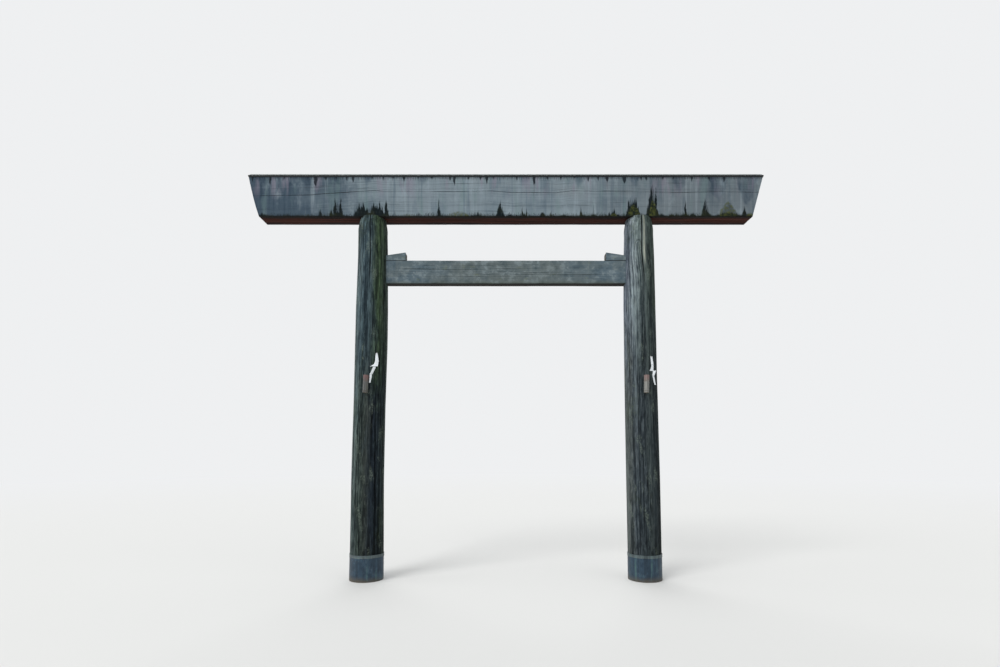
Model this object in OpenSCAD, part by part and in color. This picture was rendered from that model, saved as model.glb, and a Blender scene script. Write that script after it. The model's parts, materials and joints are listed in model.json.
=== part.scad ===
// Shinmei torii: two leaning log pillars, a deep lintel with slant-cut ends under a sheet-metal cap,
// and a tie beam wedged between the pillars.
// Lengths are in millimetres and angles in degrees.
// The origin is the centre of the left pillar's foot: +X runs to the right pillar, +Y to the back, +Z up.

/* [Pillars] */
// Distance between the centres of the two pillar feet
pillar_spacing = 3342; // [2800:2:4200]
// Height of the lintel's underside above the ground
clear_height = 4294; // [4000:2:5000]
// Diameter of a pillar at the ground
pillar_foot_d = 396; // [350:2:450]
// Diameter of a pillar under the lintel
pillar_top_d = 348; // [310:2:400]
// Swell of the pillar's radius at mid-height, over a straight taper
pillar_swell = 2; // [0:0.5:12]
// Inward lean of each pillar
pillar_lean = 1.1; // [0:0.1:2.5]
// Loss of radius at a pillar's rounded head
head_inset = 28; // [0:1:40]
// Height over which the head is rounded
head_h = 150; // [60:1:200]
// Width of the square tenon on a pillar's top
tenon_w = 120; // [80:5:160]
// Height of that tenon above the pillar's shoulder
tenon_h = 150; // [80:5:220]

/* [Lintel] */
// Length of the lintel along its upper front edge
lintel_l = 6062; // [5200:2:6800]
// Height of the lintel's front face
lintel_face_h = 488; // [380:2:560]
// Depth of the lintel, front to back
lintel_d = 236; // [200:1:340]
// Rise of the ridge above the upper front edge
ridge_rise = 67; // [30:1:110]
// Slant of the lintel's ends, which are shorter at the bottom
end_slant = 14.5; // [0:0.5:20]
// Depth of the round housing that takes each pillar's head
housing_h = 12; // [6:1:40]
// Width of the bevel on the long edges of the beams
arris = 4; // [1:0.5:10]

/* [Lintel cap] */
// Thickness of the metal sheet
sheet_t = 1.5; // [0.8:0.1:3]
// Height of the lip folded down over the lintel's faces
lip_h = 21; // [10:1:40]
// Space between the lip and the lintel's face
lip_gap = 3; // [1:0.5:8]
// Width of each wing of the strip over the ridge
ridge_wing = 45; // [25:1:80]
// Drop of the ridge strip's folded ends
ridge_drop = 34; // [20:1:60]

/* [Tie beam] */
// Gap between the lintel's underside and the tie beam
upper_gap = 496; // [400:1:700]
// Height of the tie beam
tie_h = 272; // [200:1:320]
// Thickness of the tie beam
tie_t = 115; // [80:1:160]
// Length of the beam's end inside a pillar
tie_embed = 120; // [105:1:150]

/* [Wedges] */
// Length of wedge that shows beside the pillar
wedge_show = 228; // [120:1:320]
// Height of the wedge at its free end
wedge_end_h = 96; // [80:1:110]
// Slope of the wedge's upper face
wedge_slope = 8.4; // [3:0.1:9]
// Length of the wedge inside the pillar
wedge_embed = 96; // [60:1:100]

/* [Foot sleeves] */
// Height of the metal sleeve round a pillar's foot
sleeve_h = 315; // [200:5:480]
// Thickness of the sleeve
sleeve_t = 3; // [1.5:0.5:6]
// Height of the rim band round the sleeve's top
band_h = 35; // [20:1:60]
// Thickness of the rim band
band_t = 3; // [1.5:0.5:6]

/* [Offering tubes] */
// Height of a bamboo tube's lower end above the ground
tube_z = 2210; // [1800:2:2400]
// Length of a tube
tube_l = 205; // [150:1:260]
// Diameter of a tube
tube_d = 60; // [50:1:80]
// Thickness of a tube's wall
tube_wall = 5; // [4:0.5:8]
// Height of the bamboo's closed joint above the tube's lower end
tube_floor_z = 16; // [10:1:40]
// Thickness of that closed joint
tube_floor_t = 7; // [4:0.5:12]
// Ridge of the joint, outside the tube's wall
tube_ridge = 1.5; // [0.5:0.5:3]
// Sideways tilt of the tubes
tube_roll = 2; // [0:0.5:4]
// Distance of the hanging nail below the tube's mouth
tube_nail_drop = 28; // [20:1:50]
// Place of the left tube to the right of its pillar's centre line
left_tube_dx = 0; // [-20:1:10]
// Place of the right tube to the right of its pillar's centre line
right_tube_dx = 3; // [-20:1:10]

/* [Nails] */
// Diameter of a nail's shank
nail_d = 4; // [3:0.5:5]
// Diameter of a nail's head
nail_head_d = 9; // [7:0.5:10]
// Thickness of a nail's head
nail_head_t = 1.5; // [1:0.1:2]
// Depth of a nail in a pillar
nail_embed = 30; // [20:1:60]

/* [Paper streamers] */
// Height of the left streamer's nail above the ground
left_streamer_z = 2672; // [2600:1:2900]
// Place of the left nail to the right of its pillar's centre line
left_streamer_dx = 119; // [100:1:150]
// Height of the right streamer's nail above the ground
right_streamer_z = 2627; // [2600:1:2900]
// Place of the right nail to the right of its pillar's centre line
right_streamer_dx = 65; // [60:1:90]
// Sideways step of the left streamer's panels
left_panel_step = -30; // [-34:1:-10]
// Sideways step of the right streamer's panels
right_panel_step = 18; // [4:1:24]
// Number of panels in a streamer
panel_count = 3; // [2:1:4]
// Width of one panel
panel_w = 42; // [30:1:44]
// Height of one panel
panel_h = 126; // [90:1:130]
// Drop from one panel's top to the next
panel_drop = 112; // [60:1:120]
// Thickness of the folded paper
paper_t = 0.5; // [0.3:0.1:1]
// Distance of the paper in front of the pillar's front line
paper_reach = 26; // [20:1:40]

/* [Fits] */
// Gap round tenons, housings and the beam's ends
joint_gap = 0.5; // [0.2:0.1:2]
// Gap between faces that lie on each other
seat_gap = 0.3; // [0.1:0.1:0.6]
// Gap behind the tie beam's end in its mortise
mortise_end_gap = 4; // [1:1:10]
// Gap between neighbouring cap sheets
seam_gap = 0.6; // [0.3:0.1:2]

/* [Hidden] */
$fn = 96;

// The two sides: a left pillar leans towards +X and a right one towards -X
LEFT = 1;
RIGHT = -1;
FRONT = -1;
BACK = 1;

// Colours of the materials
pillar_grey = [0.36, 0.40, 0.39];
beam_grey = [0.45, 0.50, 0.54];
sleeve_blue = [0.38, 0.47, 0.51];
cap_dark = [0.16, 0.17, 0.17];
bamboo_tan = [0.62, 0.60, 0.52];
nail_brown = [0.25, 0.20, 0.17];
paper_white = [0.93, 0.94, 0.95];

// Length of a pillar's axis up to its shoulder, and a length that passes any edge
shoulder_z = clear_height + housing_h;
log_l = shoulder_z / cos(pillar_lean);
log_steps = 12;
head_steps = 10;
head_curve = 1.5;
past = 60;

// Shape of a pillar: a taper with a slight swell and a rounded head, as a radius at the distance s
// along its axis
function log_taper(s) = (pillar_foot_d + (pillar_top_d - pillar_foot_d) * s / log_l) / 2;
function log_swell(s) = 4 * pillar_swell * (s / log_l) * (1 - s / log_l);
function head_share(s) = min(1, max(0, 1 + (s - log_l) / head_h));
function log_r(s) = log_taper(s) + log_swell(s) - head_inset * pow(head_share(s), head_curve);
function log_tilt(s) = atan(log_r(s + 0.5) - log_r(s - 0.5));
function along(z) = z / cos(pillar_lean);

// Distances at which a log's outline bends: even steps, then close ones over the rounded head
function log_places(s_low, s_high) =
    let(bend = min(s_high, log_l - head_h))
    concat(
        [s_low],
        [for (i = [1 : log_steps - 1]) if (s_low < bend) s_low + (bend - s_low) * i / log_steps],
        [
            for (i = [0 : head_steps])
                let(s = log_l - head_h + head_h * i / head_steps)
                    if (s > s_low && s < s_high) s
        ],
        [s_high]
    );

// Place of the left pillar's axis and inner face at a height
function axis_x(z) = z * tan(pillar_lean);
function face_x(z) = axis_x(z) + log_r(along(z)) / cos(pillar_lean);
function foot_x(side) = side == LEFT ? 0 : pillar_spacing;

// Levels of the tie beam, and ends of it and of the left wedge
tie_top_z = clear_height - upper_gap;
tie_z = tie_top_z - tie_h;
tie_end_x = face_x(tie_z + tie_h / 2) - tie_embed;
wedge_tip_x = face_x(tie_top_z) - wedge_embed;
wedge_free_x = face_x(tie_top_z) + wedge_show;
function wedge_top_z(x) = tie_top_z + wedge_end_h - (wedge_free_x - x) * tan(wedge_slope);

// Levels and half sizes of the lintel
mid_x = pillar_spacing / 2;
lintel_top_z = clear_height + lintel_face_h;
ridge_z = lintel_top_z + ridge_rise;
roof_pitch = atan(ridge_rise / (lintel_d / 2));
sheet_l = lintel_l / 3;

// Offering tubes and streamers
tube_r = tube_d / 2;
tube_bore_r = tube_r - tube_wall;
tube_mid_s = along(tube_z + tube_l / 2);
tube_stand_off = tube_r + tube_ridge + seat_gap;
function tube_dx(side) = side == LEFT ? left_tube_dx : right_tube_dx;
function streamer_z(side) = side == LEFT ? left_streamer_z : right_streamer_z;
function streamer_dx(side) = side == LEFT ? left_streamer_dx : right_streamer_dx;
function panel_step(side) = side == LEFT ? left_panel_step : right_panel_step;
function front_r(side) = log_r(along(streamer_z(side)));
function skin_y(side) = -sqrt(pow(front_r(side), 2) - pow(streamer_dx(side), 2));
function paper_y(side) = -front_r(side) - paper_reach;

// Puts a piece made for the left side on either side of the gate
module on_side(side) {
    translate([foot_x(side), 0, 0]) mirror([side == LEFT ? 0 : 1, 0, 0]) children();
}

// A left log, grown all round, between two distances along its leaning axis
module log_stretch(grow, s_low, s_high) {
    skin = [for (s = log_places(s_low, s_high)) [log_r(s) + grow, s]];
    rotate([0, pillar_lean, 0])
        rotate_extrude()
            polygon(concat([[0, s_low]], skin, [[0, s_high]]));
}

// Keeps what lies between two heights
module between(z_low, z_high, reach) {
    intersection() {
        children();
        translate([-reach, -reach, z_low]) cube([2 * reach, 2 * reach, z_high - z_low]);
    }
}

// A beam's end view with bevelled long edges, centred in width and standing on zero
module bevelled_section(w, h) {
    polygon([
        [-w / 2 + arris, 0], [w / 2 - arris, 0], [w / 2, arris], [w / 2, h - arris],
        [w / 2 - arris, h], [-w / 2 + arris, h], [-w / 2, h - arris], [-w / 2, arris]
    ]);
}

// Frame of a tube: its lower end on zero, its axis up, the pillar at +Y
module tube_frame(side) {
    reach = log_r(tube_mid_s) + tube_stand_off;
    translate([foot_x(side), 0, 0])
        rotate([0, side * pillar_lean, 0])
            rotate([0, 0, asin(tube_dx(side) / reach)])
                translate([0, -reach, tube_mid_s])
                    rotate([log_tilt(tube_mid_s), tube_roll, 0])
                        translate([0, 0, -tube_l / 2])
                            children();
}

// Frame of a streamer's nail: the nail's axis along Y, zero on the paper's back
module streamer_frame(side) {
    translate([
        foot_x(side) + side * axis_x(streamer_z(side)) + streamer_dx(side),
        paper_y(side),
        streamer_z(side)
    ])
        children();
}

// A round bar along +Y
module bar_y(r, y_low, y_high) {
    translate([0, y_high, 0]) rotate([90, 0, 0]) cylinder(r = r, h = y_high - y_low);
}

// The shank of a tube's nail, or the hole for it, from inside the tube's wall into the pillar
module tube_shank(r) {
    translate([0, 0, tube_l - tube_nail_drop])
        bar_y(r, tube_bore_r + seat_gap, tube_stand_off + nail_embed);
}

// The shank of a streamer's nail, from inside its head into the pillar, or the hole for it
module streamer_shank(side, r) {
    bar_y(r, -paper_t - seat_gap - nail_head_t / 2, skin_y(side) - paper_y(side) + nail_embed);
}

// The mortise for the tie beam and its wedge, with a roof that follows the wedge
module tie_mortise() {
    x_low = tie_end_x - mortise_end_gap;
    x_high = wedge_free_x;
    translate([0, tie_t / 2 + joint_gap, 0])
        rotate([90, 0, 0])
            linear_extrude(tie_t + 2 * joint_gap)
                polygon([
                    [x_low, tie_z], [x_high, tie_z],
                    [x_high, wedge_top_z(x_high) + seat_gap], [x_low, wedge_top_z(x_low) + seat_gap]
                ]);
}

// The square tenon over the pillar's shoulder, or the mortise for it
module top_tenon(gap) {
    w = tenon_w + 2 * gap;
    translate([axis_x(shoulder_z) - w / 2, -w / 2, shoulder_z - past])
        cube([w, w, tenon_h + past + gap]);
}

module pillar(side) {
    color(pillar_grey)
        difference() {
            on_side(side)
                difference() {
                    union() {
                        between(0, shoulder_z, lintel_l) log_stretch(0, -past, log_l + past);
                        top_tenon(0);
                    }
                    tie_mortise();
                }
            tube_frame(side) tube_shank(nail_d / 2);
            streamer_frame(side) streamer_shank(side, nail_d / 2);
        }
}

// The lintel's full outline: out grows its faces and ends, up grows its two slopes
module lintel_outline(out, up) {
    eave_y = lintel_d / 2 + out;
    eave_z = lintel_top_z + up / cos(roof_pitch) - out * tan(roof_pitch);
    crest_z = ridge_z + up / cos(roof_pitch);
    half_l = lintel_l / 2 + out / cos(end_slant);
    low = half_l - lintel_face_h * tan(end_slant);
    high = half_l + (crest_z - lintel_top_z) * tan(end_slant);
    intersection() {
        translate([mid_x - lintel_l, 0, 0])
            rotate([90, 0, 90])
                linear_extrude(2 * lintel_l)
                    polygon([
                        [-eave_y + arris, clear_height], [eave_y - arris, clear_height],
                        [eave_y, clear_height + arris], [eave_y, eave_z], [0, crest_z],
                        [-eave_y, eave_z], [-eave_y, clear_height + arris]
                    ]);
        translate([mid_x, lintel_d, 0])
            rotate([90, 0, 0])
                linear_extrude(2 * lintel_d)
                    polygon([
                        [-low, clear_height], [low, clear_height], [high, crest_z], [-high, crest_z]
                    ]);
    }
}

module top_lintel() {
    color(beam_grey)
        difference() {
            lintel_outline(0, 0);
            for (side = [LEFT, RIGHT])
                on_side(side) {
                    between(clear_height - past, shoulder_z, lintel_l)
                        log_stretch(joint_gap, log_l - past, log_l + past);
                    top_tenon(joint_gap);
                }
        }
}

module tie_beam() {
    color(beam_grey)
        translate([tie_end_x, 0, tie_z])
            rotate([90, 0, 90])
                linear_extrude(pillar_spacing - 2 * tie_end_x)
                    bevelled_section(tie_t, tie_h);
}

module wedge(side) {
    color(beam_grey)
        on_side(side)
            translate([0, tie_t / 2, 0])
                rotate([90, 0, 0])
                    linear_extrude(tie_t)
                        polygon([
                            [wedge_tip_x, tie_top_z], [wedge_free_x, tie_top_z],
                            [wedge_free_x, wedge_top_z(wedge_free_x)],
                            [wedge_tip_x, wedge_top_z(wedge_tip_x)]
                        ]);
}

// A band round the pillar between two heights, from one distance off its skin to another
module ring_round_log(side, inner, outer, z_low, z_high) {
    on_side(side)
        between(z_low, z_high, lintel_l)
            difference() {
                log_stretch(outer, z_low - past, z_high + past);
                log_stretch(inner, z_low - 2 * past, z_high + 2 * past);
            }
}

module foot_sleeve(side) {
    color(sleeve_blue)
        ring_round_log(side, seat_gap, seat_gap + sleeve_t, 0, sleeve_h);
}

module sleeve_band(side) {
    start = 2 * seat_gap + sleeve_t;
    color(sleeve_blue)
        ring_round_log(side, start, start + band_t, sleeve_h - band_h, sleeve_h);
}

// One metal sheet over a slope: the slope, the lip on the face and, at an end, the lip there
module cap_sheet(face, place) {
    x_low = mid_x - lintel_l / 2 + place * sheet_l;
    cut_low = place == 0 ? x_low - lintel_d : x_low + seam_gap / 2;
    cut_high = place == 2 ? x_low + sheet_l + lintel_d : x_low + sheet_l - seam_gap / 2;
    depth = lintel_d;
    color(cap_dark)
        intersection() {
            difference() {
                lintel_outline(lip_gap + sheet_t, seat_gap + sheet_t);
                lintel_outline(lip_gap, seat_gap);
            }
            translate([
                cut_low,
                face == FRONT ? -depth : seam_gap / 2,
                lintel_top_z - lip_h
            ])
                cube([cut_high - cut_low, depth - seam_gap / 2, lip_h + 2 * ridge_rise]);
        }
}

// The bent strip over the joint along the ridge, with folded ends
module ridge_cap() {
    inside = 2 * seat_gap + sheet_t;
    color(cap_dark)
        intersection() {
            difference() {
                lintel_outline(lip_gap + inside + sheet_t, inside + sheet_t);
                lintel_outline(lip_gap + inside, inside);
            }
            translate([mid_x - lintel_l, -ridge_wing, ridge_z - ridge_drop])
                cube([2 * lintel_l, 2 * ridge_wing, ridge_drop + ridge_rise]);
        }
}

// A bamboo tube, open at the top and closed by the bamboo's own joint near the bottom
module bamboo_tube(side) {
    floor_top = tube_floor_z + tube_floor_t;
    floor_mid = tube_floor_z + tube_floor_t / 2;
    nail_z = tube_l - tube_nail_drop;
    color(bamboo_tan)
        tube_frame(side)
            difference() {
                rotate_extrude()
                    polygon([
                        [0, 0], [tube_r, 0], [tube_r, floor_mid - 3 * tube_ridge],
                        [tube_r + tube_ridge, floor_mid], [tube_r, floor_mid + 3 * tube_ridge],
                        [tube_r, tube_l], [0, tube_l]
                    ]);
                translate([0, 0, floor_top]) cylinder(r = tube_bore_r, h = tube_l);
                translate([0, 0, -past]) cylinder(r = tube_bore_r, h = past + tube_floor_z);
                translate([0, 0, nail_z]) bar_y(nail_d / 2 + seat_gap / 3, 0, tube_d);
                translate([0, 0, nail_z])
                    bar_y(nail_head_d / 2 + seat_gap, 0, tube_bore_r + seat_gap + nail_head_t);
            }
}

module tube_nail(side) {
    color(nail_brown)
        tube_frame(side) {
            tube_shank(nail_d / 2);
            translate([0, 0, tube_l - tube_nail_drop])
                bar_y(nail_head_d / 2, tube_bore_r + seat_gap, tube_bore_r + seat_gap + nail_head_t);
        }
}

module streamer_nail(side) {
    head_y = -paper_t - seat_gap;
    color(nail_brown)
        streamer_frame(side) {
            streamer_shank(side, nail_d / 2);
            bar_y(nail_head_d / 2, head_y - nail_head_t, head_y);
        }
}

// A folded paper streamer: panels that step down and to one side, hung on the nail through the first
module paper_streamer(side) {
    color(paper_white)
        streamer_frame(side)
            rotate([90, 0, 0])
                linear_extrude(paper_t)
                    difference() {
                        for (i = [0 : panel_count - 1])
                            translate([
                                i * panel_step(side) - panel_w / 2,
                                nail_head_d - panel_h - i * panel_drop
                            ])
                                square([panel_w, panel_h]);
                        circle(d = nail_d + seat_gap);
                    }
}

pillar(LEFT);  // left_pillar
pillar(RIGHT);  // right_pillar
top_lintel();
tie_beam();
wedge(LEFT);  // left_wedge
wedge(RIGHT);  // right_wedge
foot_sleeve(LEFT);  // left_foot_sleeve
foot_sleeve(RIGHT);  // right_foot_sleeve
sleeve_band(LEFT);  // left_sleeve_band
sleeve_band(RIGHT);  // right_sleeve_band
cap_sheet(FRONT, 0);  // front_cap_left
cap_sheet(FRONT, 1);  // front_cap_middle
cap_sheet(FRONT, 2);  // front_cap_right
cap_sheet(BACK, 0);  // back_cap_left
cap_sheet(BACK, 1);  // back_cap_middle
cap_sheet(BACK, 2);  // back_cap_right
ridge_cap();
bamboo_tube(LEFT);  // left_bamboo_tube
bamboo_tube(RIGHT);  // right_bamboo_tube
tube_nail(LEFT);  // left_tube_nail
tube_nail(RIGHT);  // right_tube_nail
streamer_nail(LEFT);  // left_streamer_nail
streamer_nail(RIGHT);  // right_streamer_nail
paper_streamer(LEFT);  // left_paper_streamer
paper_streamer(RIGHT);  // right_paper_streamer
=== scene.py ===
import json
import math

import bpy
import numpy as np
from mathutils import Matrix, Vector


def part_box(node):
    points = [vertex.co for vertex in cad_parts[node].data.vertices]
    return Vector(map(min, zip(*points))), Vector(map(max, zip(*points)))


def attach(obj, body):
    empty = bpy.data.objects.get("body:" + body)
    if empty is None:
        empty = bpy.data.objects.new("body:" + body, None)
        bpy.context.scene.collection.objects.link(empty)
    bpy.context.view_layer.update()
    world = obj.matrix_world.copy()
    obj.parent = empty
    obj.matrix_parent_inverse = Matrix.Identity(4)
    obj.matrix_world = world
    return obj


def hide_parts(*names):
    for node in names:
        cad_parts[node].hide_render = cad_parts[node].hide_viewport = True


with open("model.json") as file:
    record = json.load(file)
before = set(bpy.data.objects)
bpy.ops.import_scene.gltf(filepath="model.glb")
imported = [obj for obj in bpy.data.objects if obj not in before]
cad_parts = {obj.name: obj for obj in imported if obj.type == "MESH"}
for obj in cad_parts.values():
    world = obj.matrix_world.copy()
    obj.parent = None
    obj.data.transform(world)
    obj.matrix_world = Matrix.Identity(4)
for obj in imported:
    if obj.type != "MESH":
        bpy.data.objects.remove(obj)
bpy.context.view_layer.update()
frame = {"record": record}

# Everything is in metres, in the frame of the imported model: the origin is the centre of the left
# pillar's foot, +X runs to the right pillar, +Y to the back and +Z up.

# Sizes of the gate, the same as the solids have
SPACING = 3.342
MID_X = SPACING / 2
CLEAR_Z = 4.294
HOUSING_H = 0.012
SHOULDER_Z = CLEAR_Z + HOUSING_H
FOOT_R = 0.198
TOP_R = 0.174
SWELL = 0.002
HEAD_INSET = 0.028
HEAD_H = 0.150
LEAN_ANGLE = math.radians(1.1)
LEAN = math.tan(LEAN_ANGLE)
LINTEL_L = 6.062
LINTEL_H = 0.488
LINTEL_D = 0.236
RIDGE_RISE = 0.067
END_SLANT = math.tan(math.radians(14.5))
LINTEL_TOP_Z = CLEAR_Z + LINTEL_H
LIP_H = 0.020
TIE_Z = 3.526
TIE_H = 0.272
TIE_D = 0.115
TIE_TOP_Z = TIE_Z + TIE_H
WEDGE_H = 0.096
WEDGE_SLOPE = math.tan(math.radians(8.4))
SLEEVE_H = 0.315
BAND_H = 0.035
SHEET_T = 0.003
SHEET_GAP = 0.0003
TUBE_L = 0.205
TUBE_R = 0.030
TUBE_BORE_R = 0.025
TUBE_FLOOR = 0.016
TUBE_FLOOR_T = 0.007
PAPER_T = 0.0004
SIDES = {"left": 1, "right": -1}


def axis_x(side, z):
    """Place of a pillar's leaning axis at the height z."""
    return (0.0 if side > 0 else SPACING) + side * z * LEAN


def log_radius(z):
    """Radius of a pillar at the height z: a taper with a slight swell and a rounded head."""
    t = z / SHOULDER_Z
    head = np.clip(1 + (z - SHOULDER_Z) / (HEAD_H * math.cos(LEAN_ANGLE)), 0, 1)
    return FOOT_R + (TOP_R - FOOT_R) * t + 4 * SWELL * t * (1 - t) - HEAD_INSET * head ** 1.5


# Smooth noise on arrays

TABLE_SIZE = 1024


def soft_step(t):
    return t * t * (3 - 2 * t)


def noise_line(x, seed):
    """Smooth noise along a line, from -1 to 1, one value a unit."""
    table = np.random.default_rng(seed).uniform(-1, 1, TABLE_SIZE)
    i = np.floor(x).astype(int)
    t = soft_step(x - i)
    return table[i % TABLE_SIZE] * (1 - t) + table[(i + 1) % TABLE_SIZE] * t


def noise_grid(x, y, seed, period=TABLE_SIZE):
    """Smooth noise over a plane, from -1 to 1, that repeats in x after a whole number of units."""
    table = np.random.default_rng(seed).uniform(-1, 1, (TABLE_SIZE, TABLE_SIZE))
    i = np.floor(x).astype(int)
    j = np.floor(y).astype(int)
    s = soft_step(x - i)
    t = soft_step(y - j)
    low, high = (table[i % period, row] * (1 - s) + table[(i + 1) % period, row] * s
                 for row in (j % TABLE_SIZE, (j + 1) % TABLE_SIZE))
    return low * (1 - t) + high * t


# Meshes


def strip(first, second, columns, closed=True, flip=False):
    """Quads between two rows of points, given by the indices of their first points."""
    quads = []
    for c in range(columns if closed else columns - 1):
        after = (c + 1) % columns
        quads.append([first + c, first + after, second + after, second + c])
    return [quad[::-1] for quad in quads] if flip else quads


def grid(rows, columns, closed=True, flip=False, start=0):
    """Quads between neighbouring rows of points. Closed rows join their last point to their first."""
    faces = []
    for row in range(start, start + (rows - 1) * columns, columns):
        faces += strip(row, row + columns, columns, closed, flip)
    return faces


class Shell:
    """A mesh in the making: rings of points joined one to the next, each point with its attributes."""

    def __init__(self, rings, **attributes):
        rows, self.columns = rings.shape[:2]
        self.count = rows * self.columns
        self.last_ring = self.count - self.columns
        self.points = [rings.reshape(-1, 3)]
        self.attributes = {key: [values.reshape(self.count, *values.shape[2:])]
                           for key, values in attributes.items()}
        self.faces = grid(rows, self.columns)

    def close(self, start, loops, flip):
        """Closes an end, inwards from the ring that begins at the index start. A loop is its points and
        their attributes. The last one is a single point, which a fan of triangles joins."""
        for points, attributes in loops:
            self.points.append(points)
            for key, values in attributes.items():
                kept = self.attributes[key]
                kept.append(np.broadcast_to(values, (len(points), *kept[0].shape[1:])))
            if len(points) > 1:
                self.faces += strip(start, self.count, self.columns, True, flip)
            else:
                columns = self.columns
                around = [[start + c, start + (c + 1) % columns, self.count] for c in range(columns)]
                self.faces += [tri[::-1] for tri in around] if flip else around
            start = self.count
            self.count += len(points)

    def piece(self, name, node, slot, material):
        attributes = {key: np.concatenate(values) for key, values in self.attributes.items()}
        add_piece(name, node, material, np.concatenate(self.points), self.faces, attributes)


def add_object(name, data):
    """Puts a new object with the given data in the scene."""
    added = bpy.data.objects.new(name, data)
    bpy.context.scene.collection.objects.link(added)
    return added


def add_piece(name, node, material, points, faces, attributes=None, sharp=40):
    """Makes a mesh object that rides on the gate in the place of a solid. material is a key of
    MATERIALS. attributes are arrays with one row a point, and edges bent by more than sharp degrees
    look sharp."""
    mesh = bpy.data.meshes.new(name)
    mesh.from_pydata(points.tolist(), [], faces)
    for key, values in (attributes or {}).items():
        is_vector = values.ndim == 2
        layer = mesh.attributes.new(key, "FLOAT_VECTOR" if is_vector else "FLOAT", "POINT")
        layer.data.foreach_set("vector" if is_vector else "value", values.ravel().astype(np.float32))
    mesh.shade_smooth()
    mesh.set_sharp_from_angle(angle=math.radians(sharp))
    mesh.materials.append(MATERIALS[material])
    piece = add_object(name, mesh)
    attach(piece, "root")
    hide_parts(node)


def spaced(places, extra, least=0.0011):
    """Sorted places with the extra ones put in and plain ones dropped where they crowd them."""
    extra = np.unique(np.round(extra, 6))
    gap = np.abs(places[:, None] - extra[None, :]).min(axis=1)
    return np.sort(np.concatenate([places[gap > least], extra]))


# Grooves of drying checks. Each has a centre across the grain, a stretch along it, a half width
# and a depth. The profile thins towards both ends and swells and narrows on the way.

CHECK_OFFSETS = np.array([-1.6, -1.0, -0.45, 0.0, 0.45, 1.0, 1.6])
# Grooves are painted dark inside as shade: the deeper, the darker.
FULL_SHADE_DEPTH = 0.010    # a groove at least this deep looks black inside
CHECK_SEED = 500


def check_places(checks):
    """Places across the grain where a mesh needs points, for each check's width."""
    return np.concatenate([check[0] + CHECK_OFFSETS * check[3] for check in checks])


def check_depths(across, along, checks):
    """Depth of the deepest groove at each point, and the painted shade inside the grooves, 0 to 1: deeper
    grooves are painted darker.
    """
    depth = np.zeros(np.broadcast(across, along).shape)
    crack_shade = np.zeros_like(depth)
    for k, (centre, low, high, half, deep) in enumerate(checks):
        run = np.minimum(along - low, high - along) / (0.30 * (high - low))
        profile = np.clip(run, 0, 1) ** 0.7 * (0.72 + 0.28 * noise_line(along * 4.0, CHECK_SEED + k))
        width = half * (0.35 + 0.65 * profile)
        fall = np.clip(1 - np.abs(across - centre) / width, 0, 1) ** 0.8
        depth = np.maximum(depth, deep * profile * fall)
        shown = min(1.0, deep / FULL_SHADE_DEPTH)
        crack_shade = np.maximum(crack_shade, shown * np.clip(profile * 1.6, 0, 1) * fall)
    return depth, crack_shade


def scattered_checks(count, across_range, along_range, longest, seed, half=0.0032, deep=0.009):
    """Small drying checks at random places, by a seeded draw."""
    draw = np.random.default_rng(seed)
    checks = []
    for _ in range(count):
        centre = draw.uniform(*across_range)
        length = draw.uniform(0.15, 1.0) ** 1.6 * longest + 0.12
        low = draw.uniform(along_range[0], along_range[1] - length)
        size = draw.uniform(0.4, 1.0)
        checks.append((centre, low, low + length, half * size, deep * size))
    return checks


# Materials: small helpers to wire shader nodes


def math_node(operation, swapped=False):
    """A method for Field that adds a math node, on the field and on another field or number."""
    def method(field, other=0.0):
        a, b = (other, field) if swapped else (field, other)
        return field.shader.field(0, "Math", {0: a, 1: b}, operation=operation)
    return method


class Field:
    """One output of a shader node, with plain arithmetic."""

    __add__ = math_node("ADD")
    __sub__ = math_node("SUBTRACT")
    __rsub__ = math_node("SUBTRACT", swapped=True)
    __mul__ = math_node("MULTIPLY")
    __pow__ = math_node("POWER")
    __abs__ = math_node("ABSOLUTE")
    most = math_node("MAXIMUM")
    sine = math_node("SINE")

    def __init__(self, shader, socket):
        self.shader = shader
        self.socket = socket

    def span(self, low, high, out_low=0.0, out_high=1.0, smooth=True):
        """Maps low..high to out_low..out_high, smoothly or in a straight line."""
        inputs = {"Value": self, "From Min": low, "From Max": high, "To Min": out_low, "To Max": out_high}
        curve = "SMOOTHSTEP" if smooth else "LINEAR"
        return self.shader.field("Result", "MapRange", inputs, interpolation_type=curve)


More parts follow.
